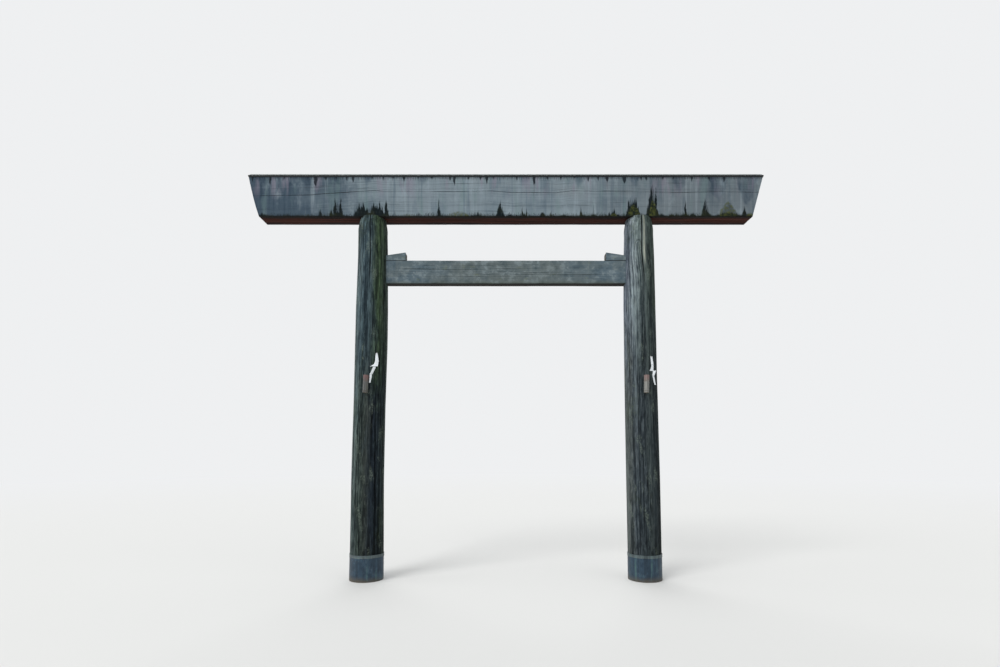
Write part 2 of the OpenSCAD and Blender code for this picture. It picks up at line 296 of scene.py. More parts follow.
class Shader:
    """The nodes of a material or a world in the making. Noise lies in the space at, and layers are laid
    on the colour one after the other."""

    def __init__(self, owner, colour=None):
        owner.use_nodes = True
        self.owner = owner
        self.nodes = owner.node_tree.nodes
        self.colour = colour
        self.at = self.field("Object", "TexCoord", {})

    def wire(self, socket, value):
        if isinstance(value, Field):
            self.owner.node_tree.links.new(value.socket, socket)
        else:
            socket.default_value = value

    def node(self, kind, inputs, **settings):
        """Adds a node. Its settings come first, because they say which inputs it has."""
        node = self.nodes.new("ShaderNode" + kind)
        for key, value in settings.items():
            setattr(node, key, value)
        for key, value in inputs.items():
            self.wire(node.inputs[key], value)
        return node

    def field(self, output, kind, inputs, **settings):
        return Field(self, self.node(kind, inputs, **settings).outputs[output])

    def attribute(self, name, output="Fac"):
        return self.field(output, "Attribute", {}, attribute_name=name)

    def axis(self, letter, vector=None):
        return self.field(letter, "SeparateXYZ", {0: vector or self.at})

    def facing(self, letter, start, full):
        """How far the surface faces along an axis: 0 where its normal's part is start, 1 at full."""
        return self.axis(letter, self.field("Normal", "NewGeometry", {})).span(start, full)

    def stretch(self, scale, shift=(0, 0, 0)):
        return self.field("Vector", "Mapping", {"Vector": self.at, "Scale": scale, "Location": shift})

    def distance(self, scale, shift):
        """Distance from the origin of the stretched and shifted space."""
        return self.field("Value", "VectorMath", {0: self.stretch(scale, shift)}, operation="LENGTH")

    def noise(self, scale, shift=(0, 0, 0), detail=3, rough=0.55, twist=0.0):
        """A scale of three numbers stretches the space before it is shifted."""
        vector, scale = (self.stretch(scale, shift), 1) if isinstance(scale, tuple) else (self.at, scale)
        inputs = {"Vector": vector, "Scale": scale, "Detail": detail, "Roughness": rough, "Distortion": twist}
        return self.field("Fac", "TexNoise", inputs)

    def tones(self, value, stops):
        """A colour that runs through the stops, each a value and a colour's display values."""
        low, high = stops[0][0], stops[-1][0]
        node = self.node("ValToRGB", {"Fac": value.span(low, high, smooth=False)})
        elements = node.color_ramp.elements
        for _ in stops[2:]:
            elements.new(0.5)
        for element, (at, *colour) in zip(elements, stops):
            element.position = (at - low) / (high - low)
            element.color = tone(*colour)
        return Field(self, node.outputs["Color"])

    def mix(self, factor, a, b, blend="MIX"):
        inputs = {"Factor": factor, "A": a, "B": b}
        return self.field("Result", "Mix", inputs, data_type="RGBA", blend_type=blend)

    def cover(self, factor, colour):
        """Lays a colour over the surface's own."""
        self.colour = self.mix(factor, self.colour, colour)

    def darken(self, factor, shade):
        """Multiplies the surface's colour by a shade of three factors."""
        self.colour = self.mix(factor, self.colour, (*shade, 1.0), "MULTIPLY")

    def tint(self, field, low, high, most, colour):
        """Covers from not at all where the field is low to most at high."""
        self.cover(field.span(low, high, 0.0, most), colour)

    def shade(self, field, low, high, most, shade):
        """Darkens from not at all where the field is low to most at high."""
        self.darken(field.span(low, high, 0.0, most), shade)

    def blend(self, output, factor, a, b):
        """Wires a mix of two surfaces to the output node."""
        mixed = self.field(0, "MixShader", {0: factor, 1: a, 2: b})
        self.wire(self.nodes[output].inputs["Surface"], mixed)

    def finish(self, rough, relief=None, depth=0.0, strength=1.0, metallic=0.0, specular=0.35):
        """Wires the surface. relief is a height field, and depth its height in metres."""
        inputs = {"Base Color": self.colour, "Roughness": rough, "Metallic": metallic,
                  "Specular IOR Level": specular}
        if relief is not None:
            bump = {"Strength": strength, "Distance": depth, "Height": relief}
            inputs["Normal"] = self.field("Normal", "Bump", bump)
        for key, value in inputs.items():
            self.wire(self.nodes["Principled BSDF"].inputs[key], value)
        return self.owner


def tone(red, green, blue):
    """A colour from its display values, 0 to 255, as the linear values that a shader takes."""
    shares = [value / 255 for value in (red, green, blue)]
    return (*(c / 12.92 if c <= 0.04045 else ((c + 0.055) / 1.055) ** 2.4 for c in shares), 1.0)


def new_shader(name, colour, grained=False):
    """A material's shader, in the space of the object or of the attribute grain."""
    shader = Shader(bpy.data.materials.new(name), colour)
    if grained:
        shader.at = shader.attribute("grain", "Vector")
    return shader


def scaled(colour, factor):
    return (*(min(1.0, c * factor) for c in colour[:3]), 1.0)


def wood_grain(shader, scales):
    """Fields of weathered wood: fibres, fine lines, streaks, broad bands and thin dark hairlines.
    scales(fine, coarse) gives the scales that are fine across and coarse along."""
    fibres = shader.noise(scales(330, 5), rough=0.6)
    lines = shader.noise(scales(140, 1.6))
    streaks = shader.noise(scales(52, 0.9))
    bands = shader.noise(scales(13, 0.35), rough=0.5)
    bent = shader.noise(scales(24, 0.55), detail=2.5, rough=0.45, twist=0.3)
    broken = shader.noise(scales(9, 1.6), detail=2)
    hairlines = abs(bent - 0.5).span(0.010, 0.0) * broken.span(0.48, 0.62)
    return fibres, lines, streaks, bands, hairlines


# Tones of each pillar across its front, from -1 at its left edge to 1 at its right one, and the same
# for its lower part: place, red, green and blue. Besides the wood's own tones they hold painted light
# and shade: paler at the left edge, where the light falls, darker towards the right one, darker still
# low down, where the wood is damp and painted shade is added, and the left pillar's set is darker with
# painted shade.
PILLAR_TONES_AND_SHADING = {
    "left": [(-0.95, 94, 107, 108), (-0.4, 60, 77, 84), (0.05, 60, 75, 80), (0.22, 52, 66, 68),
             (0.55, 63, 80, 58), (0.9, 42, 54, 46), (1.0, 56, 66, 60)],
    "right": [(-0.98, 96, 104, 116), (-0.64, 116, 127, 132), (-0.28, 100, 112, 112), (0.02, 78, 88, 88),
              (0.38, 60, 71, 68), (0.92, 46, 56, 50), (1.0, 66, 75, 70)],
}
LOW_TONES_AND_SHADE = {
    "left": [(-0.95, 78, 90, 88), (-0.6, 72, 84, 82), (-0.38, 54, 64, 60), (0.05, 43, 49, 47),
             (0.45, 26, 35, 43), (0.92, 32, 42, 44), (1.0, 46, 56, 54)],
    "right": [(-0.98, 74, 80, 79), (-0.6, 61, 69, 74), (-0.15, 52, 60, 64), (0.22, 49, 57, 58),
              (0.55, 35, 43, 46), (0.92, 39, 47, 48), (1.0, 54, 64, 62)],
}


def pillar_growth(shader):
    """Moss and lichen in patches of specks. Gives where the moss is."""
    specks = shader.noise(95, rough=0.7)
    patches = shader.noise((3.2, 3.2, 1.5), (3.1, 0.7, 2.2), detail=2)
    moss = patches.span(0.56, 0.68) * specks.span(0.48, 0.60)
    shader.cover(moss * 0.45, tone(62, 74, 44))
    pale = shader.noise((9, 9, 4), (7.7, 1.3, 4.1))
    lichen = pale.span(0.58, 0.68) * specks.span(0.44, 0.58)
    shader.cover(lichen * 0.42, tone(118, 130, 118))
    return moss


def pillar_wood(side_name, cracks, darker_below, pale_head):
    """Weathered upright log with its grain along Z. cracks is how dark its streaks are; the next argument is
    the height below which the lower tones, damp wood and painted shade, come in; pale_head is how much paler
    its head is made. The attribute side is a point's place across the log, the split edge's attribute is 1
    where the raised edge beside the main split is painted pale as a highlight, and check is 1 deep in a
    crack, painted dark as shade."""
    shader = new_shader(f"{side_name}_pillar_wood", None, grained=True)
    height = shader.axis("Z")
    fibres, lines, streaks, bands, hairlines = wood_grain(shader, lambda fine, coarse: (fine, fine, coarse))
    blotch = shader.noise((14, 14, 2.6), detail=5, rough=0.65)
    mottle = shader.noise((30, 30, 11), (0.6, 3.2, 0.9), detail=5, rough=0.7)
    dashes = shader.noise((95, 95, 7), rough=0.6)
    flakes = shader.noise((60, 60, 8), (2.2, 0.4, 1.7), rough=0.6)

    side = shader.attribute("side") + blotch.span(0.25, 0.75, -0.13, 0.13)
    patchy_height = height + blotch.span(0.2, 0.8, -0.7, 0.7)
    # Painted light and shade in the tones: paler on the left edge, darker towards the right and low down.
    shader.colour = shader.tones(side, PILLAR_TONES_AND_SHADING[side_name])
    shader.cover(patchy_height.span(darker_below, 1.75), shader.tones(side, LOW_TONES_AND_SHADE[side_name]))
    shader.shade(shader.noise((5, 5, 1.3)), 0.50, 0.78, 0.28, (1.22, 1.04, 0.92))

    brightened = shader.mix(1.0, shader.colour, (1.75, 1.72, 1.70, 1.0), "MULTIPLY")
    light = shader.mix(1.0, brightened, (0.012, 0.013, 0.013, 1.0), "ADD")
    shader.tint(patchy_height, 3.6, 4.2, pale_head, light)
    shader.tint(mottle, 0.54, 0.64, 0.70, light)
    shader.shade(mottle, 0.48, 0.36, 0.75, (0.38, 0.41, 0.46))
    shader.tint(bands, 0.50, 0.72, 0.75, light)
    shader.tint(dashes, 0.54, 0.64, 0.75, light)
    shader.tint(flakes, 0.58, 0.68, 0.60, light)
    shader.shade(streaks, 0.50, 0.41, cracks, (0.26, 0.29, 0.32))
    shader.shade(dashes, 0.46, 0.38, cracks * 0.85, (0.26, 0.29, 0.32))
    shader.shade(flakes, 0.42, 0.33, cracks * 0.7, (0.38, 0.40, 0.42))
    shader.shade(lines, 0.50, 0.34, cracks * 0.5, (0.40, 0.42, 0.43))
    shader.shade(fibres, 0.52, 0.30, 0.5, (0.50, 0.52, 0.52))

    moss = pillar_growth(shader)
    shader.shade(height + blotch * 0.5, 1.0, 0.55, 0.4, (0.45, 0.45, 0.42))
    shader.tint(height + streaks * 0.16, 4.33, 4.42, 0.30, tone(36, 44, 38))
    # Painted highlight: the raised edge beside the main split is pale, where light catches it.
    shader.cover(shader.attribute("ridge") * dashes.span(0.30, 0.55, 0.55, 1.0), tone(168, 172, 158))
    shader.cover(hairlines * 0.75, tone(14, 17, 20))
    # Painted shade: cracks and knot grooves are painted near black inside.
    shader.tint(shader.attribute("check"), 0.10, 0.75, 1.0, tone(8, 10, 11))
    relief = fibres + streaks * 1.6 + lines + dashes - hairlines * 1.2 + moss * 0.5
    return shader.finish(streaks.span(0.2, 0.8, 0.92, 0.72), relief, 0.0016, specular=0.10)


# Height of the lintel's and of the tie beam's pith above their undersides
PITH_UP = 0.11
TIE_PITH_UP = 0.13
FINE_RINGS, SLOW_RINGS = 900, 210


def timber_wood(name, base, stains):
    """Weathered squared timber: grain along X, with end grain where the attribute end is 1. stains adds
    what only this timber shows: it takes the shader and the streaks."""
    shader = new_shader(name, base, grained=True)
    end = shader.attribute("end")
    fibres, lines, streaks, bands, hairlines = wood_grain(shader, lambda fine, coarse: (coarse, fine, fine))
    shader.at = shader.field("Object", "TexCoord", {})
    worn = shader.noise((1.7, 2, 5), (3.0, 0, 0)).span(0.35, 0.65, 0.25, 1.0)
    shader.tint(bands, 0.46, 0.80, 0.6, scaled(base, 1.30))
    shader.darken(worn * streaks.span(0.50, 0.30, 0.0, 0.50), (0.50, 0.55, 0.58))
    shader.darken(worn * lines.span(0.50, 0.38, 0.0, 0.75), (0.50, 0.54, 0.56))
    shader.shade(fibres, 0.50, 0.32, 0.45, (0.60, 0.62, 0.62))
    shader.tint(shader.noise((1.3, 3, 3)), 0.52, 0.85, 0.40, tone(124, 120, 110))
    stains(shader, streaks)

    wobble = shader.noise(7)
    from_pith = shader.distance((0, 1, 1), (0, 0.02, -CLEAR_Z - PITH_UP)) + wobble * 0.03
    rings = (from_pith * FINE_RINGS).sine()
    end_wood = shader.mix(rings.span(-0.8, 0.8), tone(70, 70, 67), tone(98, 96, 91))
    end_wood = shader.mix((from_pith * SLOW_RINGS).sine().span(0.1, 0.9, 0.0, 0.8), end_wood,
                          (0.58, 0.58, 0.58, 1.0), "MULTIPLY")
    shader.cover(end, shader.mix(wobble.span(0.45, 0.7), end_wood, tone(58, 64, 63)))
    hairlines = hairlines * worn
    shader.cover(hairlines * 0.35, tone(40, 48, 54))
    # Painted shade: checks are painted dark inside.
    shader.tint(shader.attribute("check"), 0.10, 0.9, 1.0, tone(24, 27, 30))
    relief = (fibres + lines * 1.1 + streaks - hairlines) * (1.0 - end) + rings * 0.25 * end
    return shader.finish(streaks.span(0.2, 0.8, 0.90, 0.72), relief, 0.0009, 0.9, specular=0.10)


# Stains on the lintel's faces: centre along X, half width and height or length, in millimetres. Mould
# stands on the lower edge, as slender tips, broad clumps and faint ones; drips hang from the cap.
MOULD_TIPS = [
    (-515, 20, 110), (-387, 22, 115), (-352, 16, 160), (-338, 20, 255), (-310, 13, 120), (-275, 18, 265),
    (-255, 12, 120), (-105, 22, 110), (-80, 18, 150), (-56, 24, 200), (-30, 18, 150), (-6, 25, 205),
    (40, 20, 125), (94, 26, 165), (116, 30, 200), (140, 18, 150), (158, 22, 170), (186, 23, 215),
    (214, 18, 165), (262, 28, 215), (868, 10, 100), (880, 17, 240), (896, 12, 130), (932, 13, 70),
    (1345, 15, 85), (1376, 15, 70), (1574, 15, 120), (1590, 20, 190), (1606, 18, 225), (1626, 16, 160),
    (1642, 14, 90), (1866, 14, 140), (1915, 14, 130), (2205, 14, 90), (2556, 14, 150), (2930, 18, 90),
    (2944, 20, 130), (3102, 15, 150), (3118, 20, 225), (3146, 16, 190), (3190, 26, 240), (3214, 20, 190),
    (3340, 20, 160), (3360, 24, 290), (3384, 28, 400), (3410, 18, 260), (3436, 17, 380), (3786, 14, 220),
    (4000, 20, 170), (4014, 20, 240), (4034, 18, 140), (4480, 28, 150),
]
MOULD_CLUMPS = [
    (-310, 90, 70), (-85, 36, 80), (-20, 85, 130), (35, 50, 100), (155, 92, 150), (262, 30, 120),
    (340, 60, 30), (885, 40, 50), (1320, 70, 34), (1605, 48, 120), (1720, 50, 48), (1880, 55, 48),
    (2100, 36, 75), (2355, 80, 38), (2570, 50, 38), (2700, 50, 50), (2892, 26, 60), (2940, 36, 85),
    (2988, 28, 48), (3128, 34, 190), (3200, 50, 205), (3170, 92, 190), (3395, 85, 150), (3380, 56, 250),
    (3505, 50, 50), (3625, 50, 46), (3674, 30, 50), (3780, 60, 56), (3874, 45, 55), (4030, 70, 85),
    (4300, 180, 70), (4500, 120, 50), (-1200, 80, 50), (-900, 60, 36), (-780, 80, 30), (-200, 120, 20),
]
FAINT_MOULD = [
    (-740, 40, 60), (-310, 105, 190), (360, 50, 85), (640, 60, 75), (100, 200, 150), (1520, 50, 75),
    (2702, 26, 170), (3395, 90, 410), (890, 50, 150), (3140, 75, 240), (4020, 80, 240), (4300, 200, 180),
]
MOSS = [
    (500, 85, 52), (1115, 145, 80), (2945, 45, 58), (3176, 78, 165), (3405, 45, 230), (4285, 110, 195),
    (4560, 80, 60),
]
DRIPS = [
    (-1310, 14, 80), (-1102, 15, 115), (-940, 12, 50), (-570, 21, 140), (-450, 24, 55), (-330, 12, 45),
    (-200, 15, 65), (-130, 18, 85), (100, 13, 45), (230, 15, 55), (340, 18, 40), (470, 15, 80),
    (640, 13, 40), (800, 20, 45), (1015, 15, 60), (1066, 16, 115), (1230, 14, 50), (1370, 17, 55),
    (1446, 16, 100), (1526, 15, 45), (1800, 15, 58), (2006, 19, 115), (2160, 14, 50), (2320, 17, 55),
    (2480, 13, 45), (2640, 17, 70), (2762, 13, 60), (2862, 18, 85), (3066, 22, 100), (3262, 17, 58),
    (3322, 17, 58), (3520, 14, 50), (3640, 13, 44), (3860, 17, 75), (4060, 14, 60), (4240, 19, 80),
]
LONG_DRIPS = [(470, 14, 200), (1446, 12, 160), (2006, 16, 330), (2862, 14, 260)]
# Broad soft dark columns that hang from the cap where rain runs
SMEARS = [
    (-1215, 48, 300), (-1025, 40, 270), (-850, 60, 200), (-640, 50, 240), (-300, 50, 150), (30, 60, 120),
    (700, 70, 130), (1900, 80, 150), (2550, 60, 170), (3180, 60, 160), (3700, 90, 240), (4180, 120, 340),
    (4520, 110, 400),
]
STAIN_SHAKE = 0.007    # how far a stain's edge strays sideways


def spikes(x, up, shapes, point, fade):
    """Stains that stand on the line up = 0. Sides are straight where point is 1, hollow above it and
    full below it. fade is how softly a tip ends."""
    tallest = None
    for shape in shapes:
        centre, half, height = (value / 1000 for value in shape)
        spike = abs(x - centre).span(0.0, half, height ** (1 / point), 0.0, smooth=False)
        tallest = spike.most(0.0 if tallest is None else tallest)
    return (tallest ** point - up).span(0.0, fade)


def teeth(shader, x, up, seed, reach, per_metre):
    """A ragged stain along an edge. up is the distance from the edge and reach the longest tooth."""
    inputs = {"W": x * per_metre + seed, "Detail": 4, "Roughness": 0.62}
    row = shader.field("Fac", "TexNoise", inputs, noise_dimensions="1D")
    return (row.span(0.34, 0.70) * reach - up).span(-0.006, 0.012)


def lintel_weather(shader, x, up, down, dirt):
    """Broad changes of tone along the lintel, its darker left end partly painted shade, clouds, upright
    columns and the smears of running rain.
    """
    along = x + dirt.span(0.3, 0.7, -0.25, 0.25)
    # Painted shade with the wood's own tone: darker blue-grey towards the left end.
    shader.tint(along, 0.3, -0.8, 0.95, tone(60, 75, 88))
    shader.tint(along, 2.2, 3.7, 0.88, tone(68, 74, 78))
    shader.tint(along, -0.4, 0.5, 0.40, tone(124, 136, 143))
    clouds = shader.noise((4.5, 3, 2.6), (9.0, 0, 0), detail=4, rough=0.6)
    shader.tint(clouds, 0.52, 0.74, 0.60, tone(142, 155, 162))
    shader.shade(clouds, 0.48, 0.30, 0.55, (0.62, 0.68, 0.74))
    narrow = shader.noise((30, 3, 0.9), detail=4, rough=0.62)
    wide = shader.noise((9, 3, 0.7), (4.0, 0, 0), rough=0.6)
    columns = (narrow + wide) * 0.5
    shader.shade(columns, 0.51, 0.36, 0.60, (0.52, 0.59, 0.65))
    shader.tint(columns, 0.54, 0.68, 0.45, tone(144, 156, 163))
    tints = shader.noise((11, 3, 1.6), (5.0, 0, 0))
    shader.cover(tints.span(0.54, 0.68, 0.0, 0.5) * up.span(0.15, 0.40), tone(124, 118, 132))
    shader.tint(tints, 0.46, 0.32, 0.35, tone(98, 120, 120))
    sway = shader.noise((2, 2, 5), (1.0, 0, 0)).span(0.3, 0.7, -0.03, 0.03)
    smears = spikes(x + sway, down, SMEARS, 0.45, 0.10)
    shader.darken(smears * clouds.span(0.30, 0.60, 0.75, 0.35), (0.34, 0.42, 0.52))


def lintel_drips(shader, x, shaken, down):
    shader.cover(spikes(shaken, down, LONG_DRIPS, 0.6, 0.15) * 0.40, tone(84, 82, 88))
    ragged = teeth(shader, x, down, 41.0, 0.046, 24.0)
    drips = spikes(shaken, down, DRIPS, 0.5, 0.030).most(ragged * 0.65)
    shader.cover(drips * 0.92, tone(20, 27, 34))


def lintel_mould(shader, shaken, up, dirt):
    """Black mould that climbs from the lower edge, olive near it, with moss in its thick places."""
    comb = shader.noise((75, 0.1, 2), rough=0.7)
    tips = spikes(shaken, up, MOULD_TIPS, 0.60, 0.060)
    clumps = spikes(shaken, up * comb.span(0.34, 0.62, 1.38, 0.80), MOULD_CLUMPS, 0.5, 0.028)
    fringe = teeth(shader, shaken, up, 7.0, dirt.span(0.35, 0.70, 0.034, 0.075), 34.0)
    faint = spikes(shaken, up, FAINT_MOULD, 1.3, 0.05) * 0.42
    thin = shader.noise((70, 20, 12), detail=4, rough=0.7).span(0.26, 0.50, 0.88, 1.0)
    mould = tips.most(clumps).most(fringe).most(faint) * thin
    olive = shader.noise(6.0, detail=4).span(0.42, 0.60) * up.span(0.13, 0.03)
    shader.cover(mould, shader.mix(olive * 0.8, tone(8, 18, 21), tone(30, 34, 18)))
    speckle = shader.noise(38, detail=4, rough=0.75)
    moss = spikes(shaken, up, MOSS, 0.5, 0.030) * speckle.span(0.36, 0.60, 0.12, 0.72)
    shader.cover(moss, shader.mix(speckle.span(0.4, 0.65), tone(36, 43, 20), tone(76, 81, 38)))
    shader.tint(up, 0.016, 0.002, 0.85, tone(20, 24, 22))


def lintel_stains(shader, streaks):
    """Weather, drip marks under the cap, mould and moss from the lower edge, and a red-brown underside
    darkened with painted shade, near black along its long edges.
    """
    x = shader.axis("X")
    z = shader.axis("Z")
    up = z - CLEAR_Z
    down = (LINTEL_TOP_Z - LIP_H) - z
    dirt = shader.noise((2.2, 2, 2.6), detail=5, rough=0.6)
    shake = shader.noise((45, 45, 13), rough=0.6)
    shaken = x + shake.span(0.25, 0.75, -STAIN_SHAKE, STAIN_SHAKE)
    lintel_weather(shader, x, up, down, dirt)
    lintel_drips(shader, x, shaken, down)
    lintel_mould(shader, shaken, up, dirt)
    # Painted shade: what faces down is dark red-brown, near black along its long edges.
    under = shader.mix(streaks.span(0.3, 0.7), tone(34, 11, 4), tone(62, 24, 11))
    off_middle = abs(shader.axis("Y")) + dirt.span(0.3, 0.7, -0.02, 0.02)
    under = shader.mix(off_middle.span(0.045, 0.085, 0.0, 0.85), under, tone(13, 13, 13))
    shader.cover(shader.facing("Z", -0.5, -0.9), under)


def tie_stains(shader, streaks):
    """Blue-grey clouds, a joint line under each wedge, faint dirt below and a dark underside of painted
    shade.
    """
    up = shader.axis("Z") - TIE_Z
    off_middle = abs(shader.axis("X") - MID_X)
    shader.tint(off_middle, 0.2, 1.3, 0.60, tone(82, 100, 112))
    clouds = shader.noise((10, 3, 12), (6.0, 0, 2.0), detail=4, rough=0.65)
    shader.tint(clouds, 0.51, 0.63, 0.65, tone(122, 134, 138))
    shader.shade(clouds, 0.48, 0.36, 0.85, (0.60, 0.66, 0.70))
    shader.tint(shader.noise((26, 3, 1.5), rough=0.6), 0.54, 0.75, 0.14, tone(142, 148, 146))
    dirt = shader.noise((4, 4, 6), detail=4)
    shader.tint(dirt, 0.60, 0.42, 0.30, tone(92, 98, 94))
    shader.tint(up + dirt * 0.05, 0.07, 0.02, 0.45, tone(66, 74, 60))
    under_wedge = off_middle.span(1.170, 1.200, 0.0, 0.75)
    shader.cover(abs(up - TIE_H).span(0.008, 0.002) * under_wedge, tone(30, 34, 36))
    moss = shader.noise((6, 6, 9), (2.0, 0, 1.0), detail=4, rough=0.65)
    shader.tint(moss, 0.60, 0.74, 0.40, tone(98, 104, 66))
    # Painted shade: what faces down is dark.
    under = shader.mix(streaks.span(0.3, 0.7), tone(24, 24, 23), tone(46, 44, 40))
    shader.cover(shader.facing("Z", -0.5, -0.9), under)


def sleeve_metal(name, base):
    """Old sheet metal with a dull blue-grey skin, faint upright streaks and splashed soil at the foot."""
    shader = new_shader(name, scaled(base, 0.55))
    light = scaled(base, 1.55)
    streaks = shader.noise((26, 26, 1.6), detail=4, rough=0.6)
    cloud = shader.noise(7, detail=4)
    specks = shader.noise(160, rough=0.7)
    blotch = shader.noise((24, 24, 16.8), (7.2, 4.8, 21.6), detail=5, rough=0.68)
    shader.tint(streaks, 0.32, 0.70, 1.0, base)
    shader.shade(blotch, 0.50, 0.36, 0.70, (0.50, 0.58, 0.66))
    shader.tint(blotch, 0.56, 0.70, 0.45, light)
    shader.tint(shader.noise((62, 62, 0.8), (1.0, 0, 0), detail=2), 0.64, 0.74, 0.55, light)
    shader.tint(cloud, 0.50, 0.80, 0.7, light)
    shader.tint(streaks + cloud * 0.5, 0.78, 0.98, 0.5, tone(74, 104, 96))
    shader.tint(shader.axis("Z") + (cloud + specks) * 0.09, 0.17, 0.075, 0.8, tone(88, 80, 66))
    scuffs = specks.span(0.60, 0.66) * cloud.span(0.45, 0.6)
    shader.cover(scuffs * 0.5, tone(128, 136, 136))
    rough = streaks.span(0.2, 0.8, 0.38, 0.60)
    return shader.finish(rough, cloud + specks * 0.12, 0.0016, 0.5, metallic=0.20, specular=0.3)


def cap_metal():
    """Dark weathered sheet metal; what faces up is paler, grey-green patina with painted light from the sky.
    """
    shader = new_shader("cap_metal", tone(18, 20, 23))
    cloud = shader.noise((3, 9, 9), detail=5, rough=0.6)
    specks = shader.noise(120, rough=0.7)
    shader.tint(cloud, 0.35, 0.65, 1.0, tone(34, 35, 35))
    # Painted light with patina: what faces up is paler, as if lit by the sky.
    sky_sheen_patina = shader.mix(cloud.span(0.36, 0.62), tone(84, 92, 92), tone(128, 138, 138))
    sky_sheen_patina = shader.mix(specks.span(0.56, 0.70, 0.0, 0.6), sky_sheen_patina, tone(70, 74, 66))
    shader.cover(shader.facing("Z", 0.3, 0.7), sky_sheen_patina)
    return shader.finish(cloud.span(0.3, 0.7, 0.55, 0.8), cloud, 0.002, 0.4, metallic=0.10, specular=0.2)


def bamboo_skin(name, dull, bright):
    """Dry grey bamboo: fine upright lines, grey weathering, darker at the joint and reddish at the rim.
    The attribute cut is 1 where the tube was sawn."""
    shader = new_shader(name, dull, grained=True)
    along = shader.axis("Z")
    lines = shader.noise((420, 420, 6))
    streaks = shader.noise((70, 70, 4), detail=4)
    blotch = shader.noise(26, detail=4)
    shader.tint(streaks, 0.3, 0.7, 1.0, bright)
    shader.tint(lines, 0.7, 0.3, 0.35, tone(74, 70, 64))
    shader.tint(blotch, 0.52, 0.70, 0.6, tone(80, 84, 72))
    shader.tint(along + blotch * 0.06, 0.140, 0.225, 0.55, tone(118, 78, 76))
    shader.tint(abs(along - (TUBE_FLOOR + TUBE_FLOOR_T / 2)), 0.009, 0.001, 0.6, tone(72, 66, 56))
    shader.cover(shader.attribute("cut"), tone(110, 98, 80))
    return shader.finish(streaks.span(0.2, 0.8, 0.50, 0.70), lines + streaks, 0.0004, 0.7, specular=0.25)


def paper_sheet():
    """White handmade paper with faint fibres."""
    shader = new_shader("paper_sheet", tone(196, 203, 208))
    fibres = shader.noise((260, 260, 90), detail=4, rough=0.7)
    shader.tint(fibres, 0.3, 0.7, 1.0, tone(220, 224, 226))
    shader.tint(shader.noise(14), 0.52, 0.72, 0.45, tone(172, 174, 170))
    return shader.finish(0.8, fibres, 0.0003, 0.6, specular=0.2)


def nail_iron():
    """Rusted iron."""
    shader = new_shader("nail_iron", tone(46, 34, 28))
    cloud = shader.noise(240, detail=4, rough=0.7)
    shader.tint(cloud, 0.35, 0.65, 1.0, tone(96, 60, 42))
    return shader.finish(0.8, cloud, 0.0004, 0.8, metallic=0.4, specular=0.4)


MATERIALS = {
    "left_pillar": pillar_wood("left", 0.95, 3.1, 0.0),
    "right_pillar": pillar_wood("right", 0.78, 4.0, 0.40),
    "lintel": timber_wood("lintel_wood", tone(112, 125, 132), lintel_stains),
    "tie": timber_wood("tie_wood", tone(94, 104, 106), tie_stains),
    "sleeve": sleeve_metal("sleeve_metal", tone(48, 68, 84)),
    "band": sleeve_metal("band_metal", tone(86, 98, 100)),
    "cap": cap_metal(),
    # The left tube's darker colours are a shaded copy of the right one's: painted shade.
    "left_bamboo": bamboo_skin("left_bamboo_skin_shaded", tone(66, 68, 68), tone(104, 105, 104)),
    "right_bamboo": bamboo_skin("right_bamboo_skin", tone(104, 105, 103), tone(156, 156, 152)),
    "paper": paper_sheet(),
    "nail": nail_iron(),
}


# Pillars. The angle 0 faces the front and grows towards +X. Checks are given by angle in degrees and
# by height.

PILLAR_CHECKS = {
    "left": [
        (1, 3.38, 4.75, 0.0080, 0.026), (-27, 3.84, 4.24, 0.0046, 0.016), (-19, 3.90, 4.18, 0.0036, 0.012),
        (-34, 3.30, 3.86, 0.0034, 0.011), (62, 3.30, 4.20, 0.0046, 0.016), (-13, 2.60, 3.30, 0.0030, 0.010),
        (16, 2.20, 3.35, 0.0030, 0.010), (-28, 0.60, 2.10, 0.0036, 0.013), (44, 2.60, 3.40, 0.0030, 0.010),
        (38, 0.40, 1.95, 0.0036, 0.013), (-52, 2.20, 3.90, 0.0032, 0.011), (72, 1.40, 3.20, 0.0042, 0.016),
        (128, 0.70, 3.30, 0.0050, 0.021), (-142, 1.50, 4.10, 0.0046, 0.018),
    ],
    "right": [
        (0, 3.36, 4.75, 0.0100, 0.032), (32, 3.50, 4.24, 0.0036, 0.012), (-40, 3.10, 3.90, 0.0030, 0.009),
        (-12, 2.40, 3.30, 0.0030, 0.010), (-33, 1.10, 2.70, 0.0034, 0.012), (22, 2.60, 3.50, 0.0036, 0.013),
        (46, 0.50, 2.40, 0.0040, 0.015), (-20, 0.45, 1.60, 0.0034, 0.012), (-66, 2.00, 3.90, 0.0036, 0.013),
        (140, 1.00, 3.80, 0.0050, 0.021), (-125, 0.60, 2.90, 0.0046, 0.018),
    ],
}
# Turn of the grain round each log: heights, and degrees at them
GRAIN_TURN = {
    "left": ([0.0, 2.4, 3.4, 4.4], [-3.0, 0.0, 1.5, 0.0]),
    "right": ([0.0, 2.2, 3.3, 3.59, 3.74, 3.86, 4.10, 4.40], [9.0, 8.0, 8.0, 5.5, 0.6, -2.4, -1.0, 0.0]),
}
# A raised edge beside the right log's main crack, painted pale as a highlight: angle, half width and
# stretch of heights
LIT_SPLIT_EDGES = {"left": [], "right": [(8.5, 0.011, 3.70, 4.34)]}
# Knots that show as a low swelling under an arched groove: angle, height, half width, half height
KNOTS = {"left": [(-152, 2.7, 0.036, 0.070)], "right": [(-14, 3.93, 0.037, 0.075), (165, 2.1, 0.034, 0.066)]}
